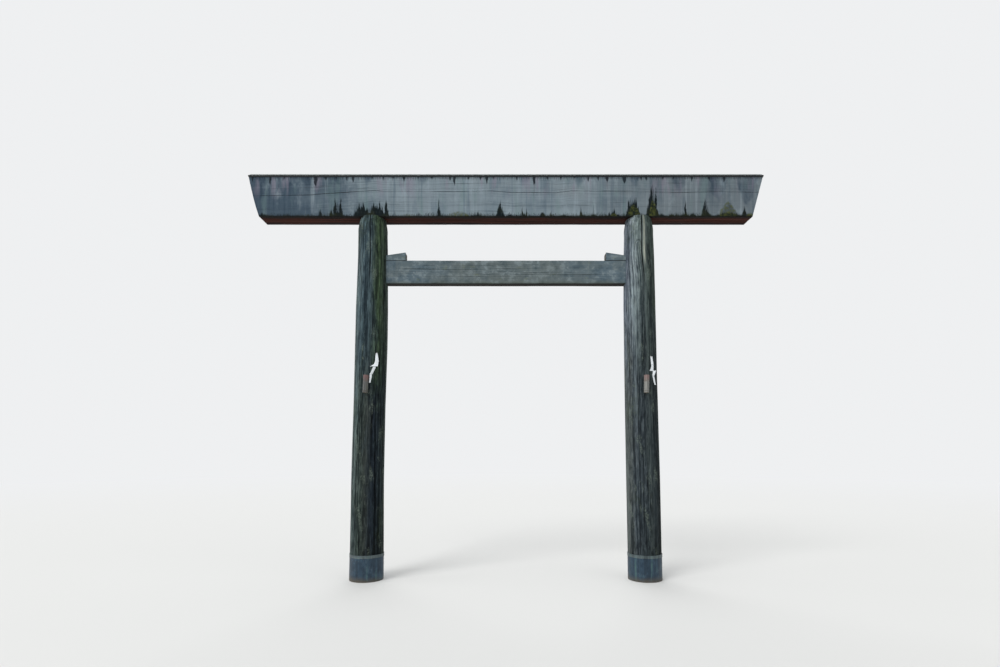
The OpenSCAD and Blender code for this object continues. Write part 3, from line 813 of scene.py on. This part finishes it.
# How each log strays from its straight axis and taper: heights, sideways shifts and radii added
STRAY = {
    "left": ([0.33, 1.14, 2.07, 2.77, 3.23, 3.85, 4.12, 4.30],
             [0, -0.008, -0.003, 0.006, 0.008, 0.008, 0.001, 0],
             [0, -0.001, -0.001, 0.006, 0.007, -0.003, -0.006, 0]),
    "right": ([0.33, 1.14, 2.07, 3.23, 3.85, 4.12, 4.30],
              [0, -0.002, -0.006, -0.008, -0.002, 0, 0],
              [0, 0.002, 0.003, 0.003, 0, -0.006, 0]),
}
FLAT_FOOT = 0.02    # below this height a log is nowhere wider than its solid
HALF_ROUND = math.pi * TOP_R
PLAIN_COLUMNS = 160
ROW_STEP = 0.020
HEAD_ROWS = 15


def knot_forms(s, z, knots):
    """Swelling and groove of each knot, at the places s round a log and z up it."""
    swelling = np.zeros(np.broadcast(s, z).shape)
    groove = np.zeros_like(swelling)
    for angle, middle, half_w, half_h in knots:
        up = (z - middle) / half_h
        reach = np.sqrt(((s - math.radians(angle) * TOP_R) / half_w) ** 2 + up ** 2)
        swelling = np.maximum(swelling, np.clip(1 - (reach / 1.5) ** 2, 0, 1) ** 2)
        arch = np.clip(1 - np.abs(reach - 1) / 0.30, 0, 1) * np.clip(up * 2 + 0.9, 0, 1)
        groove = np.maximum(groove, arch)
    return swelling, groove


def lit_split_edge(s, z, splits, seed):
    """How far each point of a log is on the raised edge of a split, which is painted pale as a highlight, 0
    to 1.
    """
    split = np.zeros(np.broadcast(s, z).shape)
    for degrees, half, low, high in splits:
        run = np.clip(np.minimum(z - low, high - z) / 0.10, 0, 1)
        uneven = 0.75 + 0.25 * noise_line(z * 9, seed)
        across = (s - math.radians(degrees) * TOP_R) / half
        split = np.maximum(split, run * uneven * np.exp(-across ** 2))
    return split


def log_relief(side_name, s, z, checks, seed):
    """What a log's skin adds to its plain radius, the painted shade in its cracks and knot grooves, and the
    raised split edge that is painted pale as a highlight.
    """
    turn = s / TOP_R / (2 * math.pi) + 0.5
    relief = 0.0026 * noise_grid(turn * 7, z * 0.9, seed + 3, 7)
    relief = relief + 0.0012 * noise_grid(turn * 19, z * 2.4, seed + 4, 19)
    relief = relief + 0.0005 * noise_grid(turn * PLAIN_COLUMNS, z * 1.5, seed + 5, PLAIN_COLUMNS)
    groove, crack_shade = check_depths(s, z, checks)
    swelling, arch = knot_forms(s, z, KNOTS[side_name])
    split = lit_split_edge(s, z, LIT_SPLIT_EDGES[side_name], seed + 6)
    relief = relief - groove + 0.005 * swelling - 0.004 * arch + 0.005 * split
    return relief, np.maximum(crack_shade, 0.50 * arch), split


def on_log(centre, radius, angle, z):
    """Points at an angle round a log's centre line."""
    height = np.broadcast_to(z, radius.shape)
    return np.stack([centre + radius * np.sin(angle), -radius * np.cos(angle), height], -1)


def make_pillar(side_name, seed):
    side = SIDES[side_name]
    checks = [(math.radians(angle) * TOP_R, *rest) for angle, *rest in PILLAR_CHECKS[side_name]]
    checks += scattered_checks(22, (-0.95 * HALF_ROUND, 0.95 * HALF_ROUND), (0.35, 4.25), 1.1, seed)
    plain = np.linspace(-HALF_ROUND, HALF_ROUND, PLAIN_COLUMNS, endpoint=False)
    s = spaced(plain, check_places(checks))[None, :]
    heights = np.linspace(0, SHOULDER_Z - HEAD_H, round(SHOULDER_Z / ROW_STEP))
    heights = np.append(heights, SHOULDER_Z - HEAD_H * (1 - np.linspace(0, 1, HEAD_ROWS)[1:]))
    z = heights[:, None]

    angle = s / TOP_R
    swirl = np.radians(np.interp(z, *GRAIN_TURN[side_name]))
    swirl = swirl + 0.02 * noise_line(z * 0.8, seed + 1) + 0.010 * noise_line(z * 2.3, seed + 2)
    relief, crack_shade, split = log_relief(side_name, s, z, checks, seed)
    heights_at, shifts, swells = STRAY[side_name]
    radius = log_radius(z) + relief + np.interp(z, heights_at, swells)
    radius = np.where(z < FLAT_FOOT, np.minimum(radius, log_radius(z)), radius)
    centre = axis_x(side, z) + np.interp(z, heights_at, shifts)
    rings = on_log(centre, radius, angle + swirl, z)
    grain = on_log(0, radius, angle, z)
    across = np.sin(angle + swirl)
    log = Shell(rings, grain=grain, check=crack_shade, side=across, ridge=split)

    for row, start, flip in ((0, 0, True), (-1, log.last_ring, False)):
        middle = np.array([[centre[row, 0], 0, heights[row]]])
        bare = {"check": 0, "ridge": 0}
        log.close(start, [
            (rings[row] * 0.9 + middle * 0.1, {"grain": grain[row], "side": across[row], **bare}),
            (middle, {"grain": grain[row][:1], "side": 0, **bare}),
        ], flip)
    log.piece(f"{side_name}_pillar_log", f"{side_name}_pillar", "pillar_wood", f"{side_name}_pillar")


make_pillar("left", 11)
make_pillar("right", 23)


# Squared timbers. A section is a loop of corners in the plane of Y and Z, each with a small round
# arris; its sides are sampled closely where checks run. The loop is swept along X. The corners run so
# that the outward side is on the right: bottom, back, top, front.


def unit(vector):
    return vector / np.linalg.norm(vector)


def outward(tangent):
    return np.array([tangent[1], -tangent[0]])


def timber_section(corners, step, arris, side_checks):
    """Points round a section. Gives places, outward normals, the side of each point and its
    distance along that side; points on an arris belong to no side."""
    corners = np.array(corners)
    found = []
    for k, start in enumerate(corners):
        end, beyond = corners[(k + 1) % len(corners)], corners[(k + 2) % len(corners)]
        length = np.linalg.norm(end - start)
        tangent, following = unit(end - start), unit(beyond - end)
        along = np.linspace(arris, length - arris, max(3, round(length / step)))
        if k in side_checks:
            along = spaced(along, check_places(side_checks[k]))
            along = along[(along >= arris) & (along <= length - arris)]
        found += [(start + tangent * a, outward(tangent), k, a) for a in along]
        for part in (0.25, 0.5, 0.75):
            before = end - tangent * arris * (1 - part)
            after = end + following * arris * part
            normal = outward(tangent) * (1 - part) + outward(following) * part
            found.append((before * (1 - part) + after * part, unit(normal), -1, 0))
    return [np.array(values) for values in zip(*found)]


def timber_grooves(x, section, corners, side_checks, wander):
    """Depth of the grooves, the painted shade inside them, and how far the grain wanders sideways."""
    _, _, sides, runs = section
    groove = np.zeros(x.shape)
    crack_shade = np.zeros(x.shape)
    shift = np.zeros(x.shape)
    for k, checks in side_checks.items():
        here = sides == k
        length = np.linalg.norm(np.subtract(corners[(k + 1) % len(corners)], corners[k]))
        groove[:, here], crack_shade[:, here] = check_depths(runs[here][None, :], x[:, here], checks)
        middle = np.sin(np.pi * np.clip(runs[here] / length, 0, 1)) ** 0.7
        shift[:, here] = wander(k, x[:, here]) * middle[None, :]
    return groove, crack_shade, shift


def timber_relief(x, on_arris, seed):
    """Low waves of a timber's faces, less the wear and the chips of its edges."""
    around = np.arange(x.shape[1])[None, :]
    relief = 0.0014 * noise_grid(x * 1.7 + 60, around * 0.11, seed)
    relief = relief + 0.0004 * noise_grid(x * 6 + 60, around * 0.9, seed + 1)
    wear = 0.0018 * np.abs(noise_grid(x * 8 + 60, around * 0.4, seed + 2))
    chips = 0.010 * np.clip(noise_line(x * 5.3 + 60, seed + 3) - 0.72, 0, 1)
    return relief - np.where(on_arris[None, :], wear + chips, 0)


SECTION_STEP = 0.013
RING_STEP = 0.030
END_LOOPS = [0.985, 0.93, 0.84, 0.72, 0.58, 0.42, 0.26, 0.12]


def timber_end(outer, direction, bearing, pith, seed):
    """Loops that shrink from a timber's outline to its pith, with radial checks as shallow grooves that are
    painted dark inside as shade.
    """
    slant = np.polyfit(outer[:, 2], outer[:, 0], 1)
    loops = []
    for shrink in END_LOOPS:
        yz = pith + (outer[:, 1:] - pith) * shrink
        split = np.clip(noise_line(bearing * 14 + 90, seed) - 0.45, 0, 1) ** 1.1
        split = split * np.sin(math.pi * shrink) ** 0.5
        face_x = np.polyval(slant, yz[:, 1]) - direction * (0.0006 + 0.007 * split)
        loop = np.column_stack([face_x, yz])
        loops.append((loop, {"grain": loop, "check": np.clip(split * 1.8, 0, 1), "end": 1}))
    middle = np.array([[np.polyval(slant, pith[1]), *pith]])
    return loops + [(middle, {"grain": middle, "check": 0, "end": 1})]


def make_timber(name, node, material, corners, ends, side_checks, wander, pith, seed, arris=0.005):
    """A timber with the given section, from ends(z)[0] to ends(z)[1] along X."""
    section = timber_section(corners, SECTION_STEP, arris, side_checks)
    places, normals, sides, _ = section
    pith = np.array(pith)
    low_x, high_x = ends(places[:, 1])
    rings = max(8, round((high_x - low_x).max() / RING_STEP)) + 1
    t = np.linspace(0, 1, rings)[:, None]
    x = low_x[None, :] * (1 - t) + high_x[None, :] * t
    groove, crack_shade, shift = timber_grooves(x, section, corners, side_checks, wander)
    offset = timber_relief(x, sides < 0, seed) - groove
    tangent = np.stack([-normals[:, 1], normals[:, 0]], -1)
    yz = places[None] + normals[None] * offset[..., None] + tangent[None] * shift[..., None]
    points = np.concatenate([x[..., None], yz], -1)
    grain = np.concatenate([x[..., None], np.broadcast_to(places[None], yz.shape)], -1)
    timber = Shell(points, grain=grain, check=crack_shade, end=np.zeros(x.shape))
    bearing = np.arctan2(places[:, 1] - pith[1], places[:, 0] - pith[0])
    for row, start, direction in ((0, 0, -1), (-1, timber.last_ring, 1)):
        timber.close(start, timber_end(points[row], direction, bearing, pith, seed + 7), direction < 0)
    timber.piece(name, node, "beam_wood", material)


def box_corners(depth, low, high):
    return [(-depth / 2, low), (depth / 2, low), (depth / 2, high), (-depth / 2, high)]


LINTEL_CORNERS = [
    (-LINTEL_D / 2, CLEAR_Z), (LINTEL_D / 2, CLEAR_Z), (LINTEL_D / 2, LINTEL_TOP_Z),
    (0, LINTEL_TOP_Z + RIDGE_RISE), (-LINTEL_D / 2, LINTEL_TOP_Z),
]
UNDERSIDE, BACK_FACE, FRONT_FACE = 0, 1, 4
# Long checks of the lintel's front face, by their height above its lower edge. All the others are given
# by their distance along the loop of corners, which runs down the front face.
FRONT_CHECKS = [
    (0.285, -0.92, -0.56, 0.0024, 0.009), (0.285, -1.25, -0.95, 0.0016, 0.005),
    (0.287, -0.66, 0.26, 0.0028, 0.011), (0.285, 0.80, 1.25, 0.0022, 0.008),
    (0.284, 1.38, 2.34, 0.0018, 0.007), (0.286, 2.26, 2.56, 0.0020, 0.007),
    (0.285, 3.55, 4.30, 0.0022, 0.008), (0.322, -0.09, 0.08, 0.0018, 0.006),
]
LINTEL_CHECKS = {
    FRONT_FACE: [(LINTEL_H - height, *rest) for height, *rest in FRONT_CHECKS]
    + scattered_checks(12, (0.04, 0.45), (-1.2, 4.5), 0.5, 77, 0.0014, 0.0035),
    BACK_FACE: [
        (0.27, -1.1, 1.3, 0.0032, 0.012), (0.24, 1.6, 4.4, 0.0030, 0.011), (0.12, 0.2, 2.2, 0.0020, 0.007),
    ] + scattered_checks(18, (0.04, 0.45), (-1.2, 4.5), 0.9, 78, 0.0016, 0.005),
    UNDERSIDE: [(0.11, -0.9, 1.4, 0.0032, 0.012), (0.14, 1.9, 4.1, 0.0030, 0.011)],
}
# How the grain and the long checks of the front face wander down, by the place along X
WANDER_X = [-1.25, -0.62, -0.50, -0.25, -0.12, 0.00, 0.14, 0.20, 0.80, 1.20, 1.50, 1.75, 2.30, 2.45, 3.00,
            3.70, 4.20, 4.70]
WANDER_DOWN = [0.040, 0.032, 0.020, 0.004, -0.006, -0.013, -0.024, -0.013, -0.010, -0.010, -0.020, 0.001,
               0.001, -0.018, -0.010, 0.001, -0.008, 0.000]
TIE_BACK, TIE_FRONT = 1, 3
TIE_CHECKS = {
    TIE_BACK: scattered_checks(10, (0.03, 0.24), (0.2, 3.1), 0.9, 88, 0.0016, 0.005),
    TIE_FRONT: [(0.10, 0.35, 1.5, 0.0015, 0.004), (0.17, 1.7, 2.9, 0.0015, 0.004)]
    + scattered_checks(10, (0.03, 0.24), (0.2, 3.1), 0.8, 89, 0.0014, 0.004),
}
TIE_END_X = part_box("tie_beam")[0][0]


def lintel_ends(z):
    half = LINTEL_L / 2 - (LINTEL_TOP_Z - z) * END_SLANT
    return MID_X - half, MID_X + half


def lintel_wander(side, x):
    slow = np.interp(x, WANDER_X, WANDER_DOWN) if side == FRONT_FACE else 0.010 * noise_line(x * 0.8 + 40, 31)
    return slow + 0.002 * noise_line(x * 2.6 + 40, 32 + side)


def tie_ends(z):
    return np.full_like(z, TIE_END_X), np.full_like(z, SPACING - TIE_END_X)


def tie_wander(side, x):
    return 0.006 * noise_line(x * 0.9 + 40, 61 + side) + 0.002 * noise_line(x * 3.1 + 40, 63 + side)


make_timber("lintel_timber", "top_lintel", "lintel", LINTEL_CORNERS, lintel_ends, LINTEL_CHECKS,
            lintel_wander, (-0.02, CLEAR_Z + PITH_UP), 51)
make_timber("tie_beam_timber", "tie_beam", "tie", box_corners(TIE_D, TIE_Z, TIE_TOP_Z), tie_ends,
            TIE_CHECKS, tie_wander, (0.0, TIE_Z + TIE_PITH_UP), 67, arris=0.004)


# Wedges: the same timber, with the upper face sloping up towards the middle of the gate

WEDGE_RINGS = 24
WEDGE_STEP = 0.05
WEDGE_ARRIS = 0.003
WEDGE_LOOPS = [0.96, 0.6, 0.25]


def make_wedge(side_name, seed):
    """A box section of height 1, stretched to the height of the wedge at each place along X."""
    low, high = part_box(f"{side_name}_wedge")
    side = SIDES[side_name]
    places, normals, sides, _ = timber_section(box_corners(TIE_D, 0.0, 1.0), WEDGE_STEP, WEDGE_ARRIS, {})
    t = np.linspace(0, 1, WEDGE_RINGS)[:, None]
    x = low[0] + (high[0] - low[0]) * t + 0 * places[None, :, 0]
    top = WEDGE_H - ((high[0] - x) if side > 0 else (x - low[0])) * WEDGE_SLOPE
    is_upper = places[:, 1] > 0.5
    inset = np.where(is_upper, places[:, 1] - 1.0, places[:, 1])
    is_flank = (sides == 1) | (sides == 3)
    z = np.where(is_flank, places[:, 1] * top, np.where(is_upper, 1.0, 0.0) * top + inset)
    relief = 0.0006 * noise_grid(x * 9 + 60, np.arange(len(places))[None, :] * 0.3, seed)
    points = np.stack([x, places[:, 0] + normals[:, 0] * relief, TIE_TOP_Z + z + normals[:, 1] * relief], -1)
    grain_shift = np.array([0.0, 0.4 * side, 0.7])
    wedge = Shell(points, grain=points + grain_shift, check=np.zeros(x.shape), end=np.zeros(x.shape))
    for row, start, flip in ((0, 0, True), (-1, wedge.last_ring, False)):
        middle = points[row].mean(axis=0, keepdims=True)
        loops = [middle + (points[row] - middle) * shrink for shrink in WEDGE_LOOPS] + [middle]
        ends = [(loop, {"grain": loop + grain_shift, "check": 0, "end": 1}) for loop in loops]
        wedge.close(start, ends, flip)
    wedge.piece(f"{side_name}_wedge_block", f"{side_name}_wedge", "beam_wood", "tie")


make_wedge("left", 71)
make_wedge("right", 72)


# Foot sleeves and their rim bands: thin sheet round the log, with a lap seam at the back

SLEEVE_COLUMNS = 144
SEAM_ANGLE = math.radians(168)
SEAM_HALF = 0.07    # half width of the lap, as an angle
SEAM_FADE = 0.012
LAP_RISE = 0.0016
ROLL_H = 0.006      # how much of a sheet's edge is rolled
BAND_ROLL = 0.0016
SHEET_STEP = 0.012


def make_ring(name, node, material, side, inner, low, high, rolled, seed):
    """A thin sheet ring round a pillar between two heights. inner is the space between it and the
    log's skin, and rolled is how far its edges are rolled outwards."""
    z = np.linspace(low, high, max(6, round((high - low) / SHEET_STEP)))[:, None]
    a = np.linspace(-math.pi, math.pi, SLEEVE_COLUMNS, endpoint=False)[None, :]
    turn = a / (2 * math.pi) + 0.5
    dents = 0.0011 * noise_grid(turn * 9, z * 9 + 20, seed, 9)
    dents = dents - 0.0022 * np.clip(noise_grid(turn * 13, z * 14 + 20, seed + 1, 13) - 0.55, 0, 1)
    off_seam = np.abs(np.angle(np.exp(1j * (a - SEAM_ANGLE))))
    lap = LAP_RISE * soft_step(np.clip((SEAM_HALF - off_seam) / SEAM_FADE, 0, 1))
    edges = np.clip(1 - (high - z) / ROLL_H, 0, 1) ** 2 + np.clip(1 - (z - low) / ROLL_H, 0, 1) ** 2
    centre = axis_x(side, z)
    skin = on_log(centre, log_radius(z) + inner + SHEET_T + dents + lap + rolled * edges, a, z)
    lining = on_log(centre, log_radius(z) + inner + 0 * dents, a, z)
    rows = 2 * len(z)
    faces = grid(rows, SLEEVE_COLUMNS) + strip((rows - 1) * SLEEVE_COLUMNS, 0, SLEEVE_COLUMNS)
    points = np.concatenate([skin, lining[::-1]]).reshape(-1, 3)
    add_piece(name, node, material, points, faces)


for side_name, side in SIDES.items():
    make_ring(f"{side_name}_sleeve_sheet", f"{side_name}_foot_sleeve", "sleeve", side,
              SHEET_GAP, 0.0, SLEEVE_H, 0.0, 90 + side)
    make_ring(f"{side_name}_rim_band", f"{side_name}_sleeve_band", "band", side,
              2 * SHEET_GAP + SHEET_T, SLEEVE_H - BAND_H, SLEEVE_H, BAND_ROLL, 95 + side)


# Bamboo tubes, in the frame of the solids: the lower end on zero, the axis up, the pillar at +Y

TUBE_COLUMNS = 72
CHAMFER = 0.0006


def tube_frame(side_name):
    """The tube's own axes, worked out from its mount in the record: origin, right, back and up."""
    mount = next(m for m in frame["record"]["mounts"] if m["name"] == f"{side_name}_tube")
    up = unit(np.array(mount["axis"]))
    bore_middle = (TUBE_FLOOR + TUBE_FLOOR_T + TUBE_L) / 2
    origin = np.array(mount["pos_m"]) - up * bore_middle
    back = unit(np.array([0.0, 1.0, 0.0]) - up * up[1])
    return origin, np.cross(back, up), back, up


def tube_profile():
    """Radii and heights from the outer lower edge over the rim to the floor, then from the floor's
    underside to the inner lower edge. Gives them, how much each is cut, and the floor's last row."""
    joint = TUBE_FLOOR + TUBE_FLOOR_T / 2
    floor_z = TUBE_FLOOR + TUBE_FLOOR_T
    outside = [(TUBE_R - CHAMFER, 0.0), (TUBE_R, CHAMFER), (TUBE_R, joint - 0.006),
               (TUBE_R + 0.0012, joint - 0.002), (TUBE_R + 0.0005, joint), (TUBE_R + 0.0013, joint + 0.002),
               (TUBE_R, joint + 0.006)]
    outside += [(TUBE_R, h) for h in np.linspace(joint + 0.014, TUBE_L - 0.001, 16)]
    rim = [(TUBE_R - CHAMFER, TUBE_L), (TUBE_BORE_R + CHAMFER, TUBE_L)]
    bore = [(TUBE_BORE_R, h) for h in np.linspace(TUBE_L - 0.001, floor_z + 0.003, 12)]
    disc = [(TUBE_BORE_R * 0.93, 0), (TUBE_BORE_R * 0.5, 0), (0.0004, 0)]
    floor = [(r, floor_z) for r, _ in disc]
    under = [(r, TUBE_FLOOR) for r, _ in disc[::-1]] + [(TUBE_BORE_R, TUBE_FLOOR - 0.003)]
    foot = [(TUBE_BORE_R, CHAMFER), (TUBE_BORE_R + CHAMFER, 0.0)]
    parts = [(outside, 0), (rim, 1), (bore, 0.6), (floor, 0.8), (under, 0.8), (foot, 1)]
    profile = np.array([point for part, _ in parts for point in part])
    cut = np.concatenate([[share] * len(part) for part, share in parts])
    return profile, cut, len(outside) + len(rim) + len(bore) + len(floor) - 1


def make_tube(side_name, seed):
    origin, right, back, up = tube_frame(side_name)
    profile, cut, floor_row = tube_profile()
    r, h = profile[:, :1], profile[:, 1:]
    a = np.linspace(-math.pi, math.pi, TUBE_COLUMNS, endpoint=False)[None, :]
    turn = a / (2 * math.pi) + 0.5
    oval = 1 + 0.008 * np.cos(2 * a + seed) + 0.004 * noise_grid(turn * 11, h * 30 + 20, seed, 11)
    radius = r * np.where(r > TUBE_BORE_R * 0.95, oval, 1)
    local = on_log(0, radius, a, h).reshape(-1, 3)
    world = origin + local[:, :1] * right + local[:, 1:2] * back + local[:, 2:] * up
    above = (floor_row + 1) * TUBE_COLUMNS
    faces = grid(floor_row + 1, TUBE_COLUMNS) + grid(len(r) - floor_row - 1, TUBE_COLUMNS, start=above)
    faces += strip((len(r) - 1) * TUBE_COLUMNS, 0, TUBE_COLUMNS)
    faces.append(list(range(above - TUBE_COLUMNS, above)))
    faces.append(list(range(above, above + TUBE_COLUMNS))[::-1])
    grain = local + np.array([0.3 * SIDES[side_name], 0, 0])
    add_piece(f"{side_name}_bamboo", f"{side_name}_bamboo_tube", f"{side_name}_bamboo", world,
              faces, {"grain": grain, "cut": np.repeat(cut, TUBE_COLUMNS)}, sharp=50)


make_tube("left", 1)
make_tube("right", 2)


# Paper streamers: folded panels that step down and sideways

PANEL_GAP = 0.0012       # how far each panel hangs in front of the one above it
MOST_BACK = 0.002        # how far the paper may bend back, towards the pillar
# Outline of each panel from its head down, as heights, left edges and right edges
STREAMER_PANELS = {
    "left": [
        ([2.677, 2.636, 2.602, 2.567, 2.543, 2.514], [0.163, 0.158, 0.155, 0.151, 0.140, 0.091],
         [0.177, 0.187, 0.193, 0.194, 0.191, 0.186]),
        ([2.520, 2.470, 2.424], [0.134, 0.113, 0.094], [0.166, 0.145, 0.121]),
        ([2.434, 2.380, 2.324], [0.093, 0.086, 0.081], [0.119, 0.112, 0.101]),
    ],
    "right": [
        ([2.634, 2.590, 2.538], [3.346, 3.351, 3.357], [3.368, 3.373, 3.380]),
        ([2.545, 2.510, 2.485, 2.461], [3.357, 3.356, 3.347, 3.334], [3.381, 3.383, 3.383, 3.384]),
        ([2.468, 2.440, 2.404], [3.373, 3.373, 3.369], [3.413, 3.402, 3.390]),
        ([2.411, 2.370, 2.302], [3.368, 3.376, 3.391], [3.389, 3.396, 3.409]),
    ],
}
ACROSS, DOWN = 8, 20
PANEL_POINTS = ACROSS * DOWN


def panel_front(outline, i, paper_y, draw, seed):
    """Points of one panel's front: it turns, curls and creases more towards its foot."""
    heights, left, right = outline
    u = np.linspace(0, 1, ACROSS)[None, :]
    v = np.linspace(0, 1, DOWN)[:, None]
    z = heights[0] + (heights[-1] - heights[0]) * v
    left_x = np.interp(-z, -np.array(heights), left)
    width = np.interp(-z, -np.array(heights), right) - left_x
    yaw = draw.uniform(0.25, 0.45) * (1 if i % 2 else -1)
    curl = draw.uniform(-0.006, 0.006)
    crease = 0.0016 * noise_grid(u * 3 + 40, v * 5 + 40 + 9 * i, seed)
    y = paper_y - PANEL_GAP * i + (u - 0.5) * width * yaw * v + curl * np.sin(math.pi * u) * v
    y = y + crease * v - 0.006 * v * draw.uniform(0.3, 1.0)
    x = left_x + width * u + 0.0010 * noise_grid(u * 2 + 70, v * 11 + 70 + 9 * i, seed + 1)
    z = z - 0.004 * np.sin(math.pi * u) * (0.4 - v)
    return np.stack([x, np.minimum(y, paper_y + MOST_BACK), z], -1).reshape(-1, 3)


def panel_edge():
    """Indices of a panel's outermost points, in a loop."""
    index = np.arange(PANEL_POINTS).reshape(DOWN, ACROSS)
    return np.concatenate([index[0], index[1:, -1], index[-1, -2::-1], index[-2:0:-1, 0]]).tolist()


def make_streamer(side_name, seed):
    low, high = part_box(f"{side_name}_paper_streamer")
    draw = np.random.default_rng(seed)
    edge = panel_edge()
    points, faces = [], []
    for i, outline in enumerate(STREAMER_PANELS[side_name]):
        front = panel_front(outline, i, (low[1] + high[1]) / 2, draw, seed + 20)
        points += [front, front + np.array([0, PAPER_T, 0])]
        start = 2 * i * PANEL_POINTS
        back = start + PANEL_POINTS
        faces += grid(DOWN, ACROSS, False, True, start) + grid(DOWN, ACROSS, False, False, back)
        faces += [[start + a, start + b, back + b, back + a] for a, b in zip(edge, edge[1:] + edge[:1])]
    add_piece(f"{side_name}_paper_strip", f"{side_name}_paper_streamer", "paper",
              np.concatenate(points), faces, sharp=60)


make_streamer("left", 3)
make_streamer("right", 4)


# Solids whose shape is right keep it and take a better material

CARRIED_OVER = {
    "cap": ["front_cap_left", "front_cap_middle", "front_cap_right", "back_cap_left", "back_cap_middle",
            "back_cap_right", "ridge_cap"],
    "nail": ["left_tube_nail", "right_tube_nail", "left_streamer_nail", "right_streamer_nail"],
}
for key, nodes in CARRIED_OVER.items():
    for node in nodes:
        solid = bpy.data.objects[node]
        solid.data.materials.clear()
        solid.data.materials.append(MATERIALS[key])


# Stage: a pale floor that fades into a pale background

BACKGROUND = (0.86, 0.87, 0.88, 1.0)
AMBIENT = (0.96, 0.98, 1.0, 1.0)
AMBIENT_STRENGTH = 0.62
FADE_START, FADE_END = 6.0, 30.0
FLOOR_REACH = 120.0


def make_floor():
    shader = new_shader("floor", tone(214, 214, 212))
    shader.finish(0.9, specular=0.1)
    off_gate = shader.distance((1, 1, 0), (-MID_X, 0, 0))
    surface = Field(shader, shader.nodes["Principled BSDF"].outputs[0])
    glow = shader.field(0, "Emission", {"Color": BACKGROUND})
    shader.blend("Material Output", off_gate.span(FADE_START, FADE_END), surface, glow)
    mesh = bpy.data.meshes.new("floor")
    corners = [(x * FLOOR_REACH, y * FLOOR_REACH, 0) for x, y in ((-1, -1), (1, -1), (1, 1), (-1, 1))]
    mesh.from_pydata(corners, [], [(0, 1, 2, 3)])
    mesh.materials.append(shader.owner)
    add_object("floor", mesh)


def make_world():
    """A pale background for the camera and for reflections, and a soft even light from all around."""
    shader = Shader(bpy.data.worlds.new("studio"))
    seen, mirrored = (shader.field(f"Is {kind} Ray", "LightPath", {}) for kind in ("Camera", "Glossy"))
    ambient = shader.field(0, "Background", {"Color": AMBIENT, "Strength": AMBIENT_STRENGTH})
    shown = shader.field(0, "Background", {"Color": BACKGROUND})
    shader.blend("World Output", seen.most(mirrored), ambient, shown)
    bpy.context.scene.world = shader.owner


def add_sun(name, strength, softness, pitch, heading):
    """A distant soft lamp. heading is the compass angle it shines from: 0 is the front, 90 the right."""
    lamp = bpy.data.lights.new(name, "SUN")
    lamp.energy = strength
    lamp.angle = math.radians(softness)
    add_object(name, lamp).rotation_euler = (math.radians(90 - pitch), 0, math.radians(heading))


# The camera stands at eye height. Its lens is given by pixels of the photograph's 1000 x 667.
CAMERA_PLACE = (1.602, -6.50, 1.534)
PHOTO_W, PHOTO_H = 1000, 667
FOCAL_PIXELS = 542
HORIZON_ROW = 451
SENSOR_W = 36.0


def make_camera():
    """A level camera, shifted up as the photograph is framed."""
    lens = bpy.data.cameras.new("camera")
    lens.sensor_width = SENSOR_W
    lens.lens = SENSOR_W * FOCAL_PIXELS / PHOTO_W
    lens.shift_y = (HORIZON_ROW - PHOTO_H / 2) / PHOTO_W
    camera = add_object("camera", lens)
    camera.location = CAMERA_PLACE
    camera.rotation_euler = (math.radians(90), 0, 0)
    bpy.context.scene.camera = camera


make_camera()
make_floor()
make_world()
add_sun("key", 1.7, 30, 42, -42)
add_sun("side", 0.7, 40, 15, -85)
add_sun("fill", 0.3, 60, 25, 50)
add_sun("back_fill", 0.9, 50, 40, 190)
bpy.context.scene.view_settings.view_transform = "Standard"
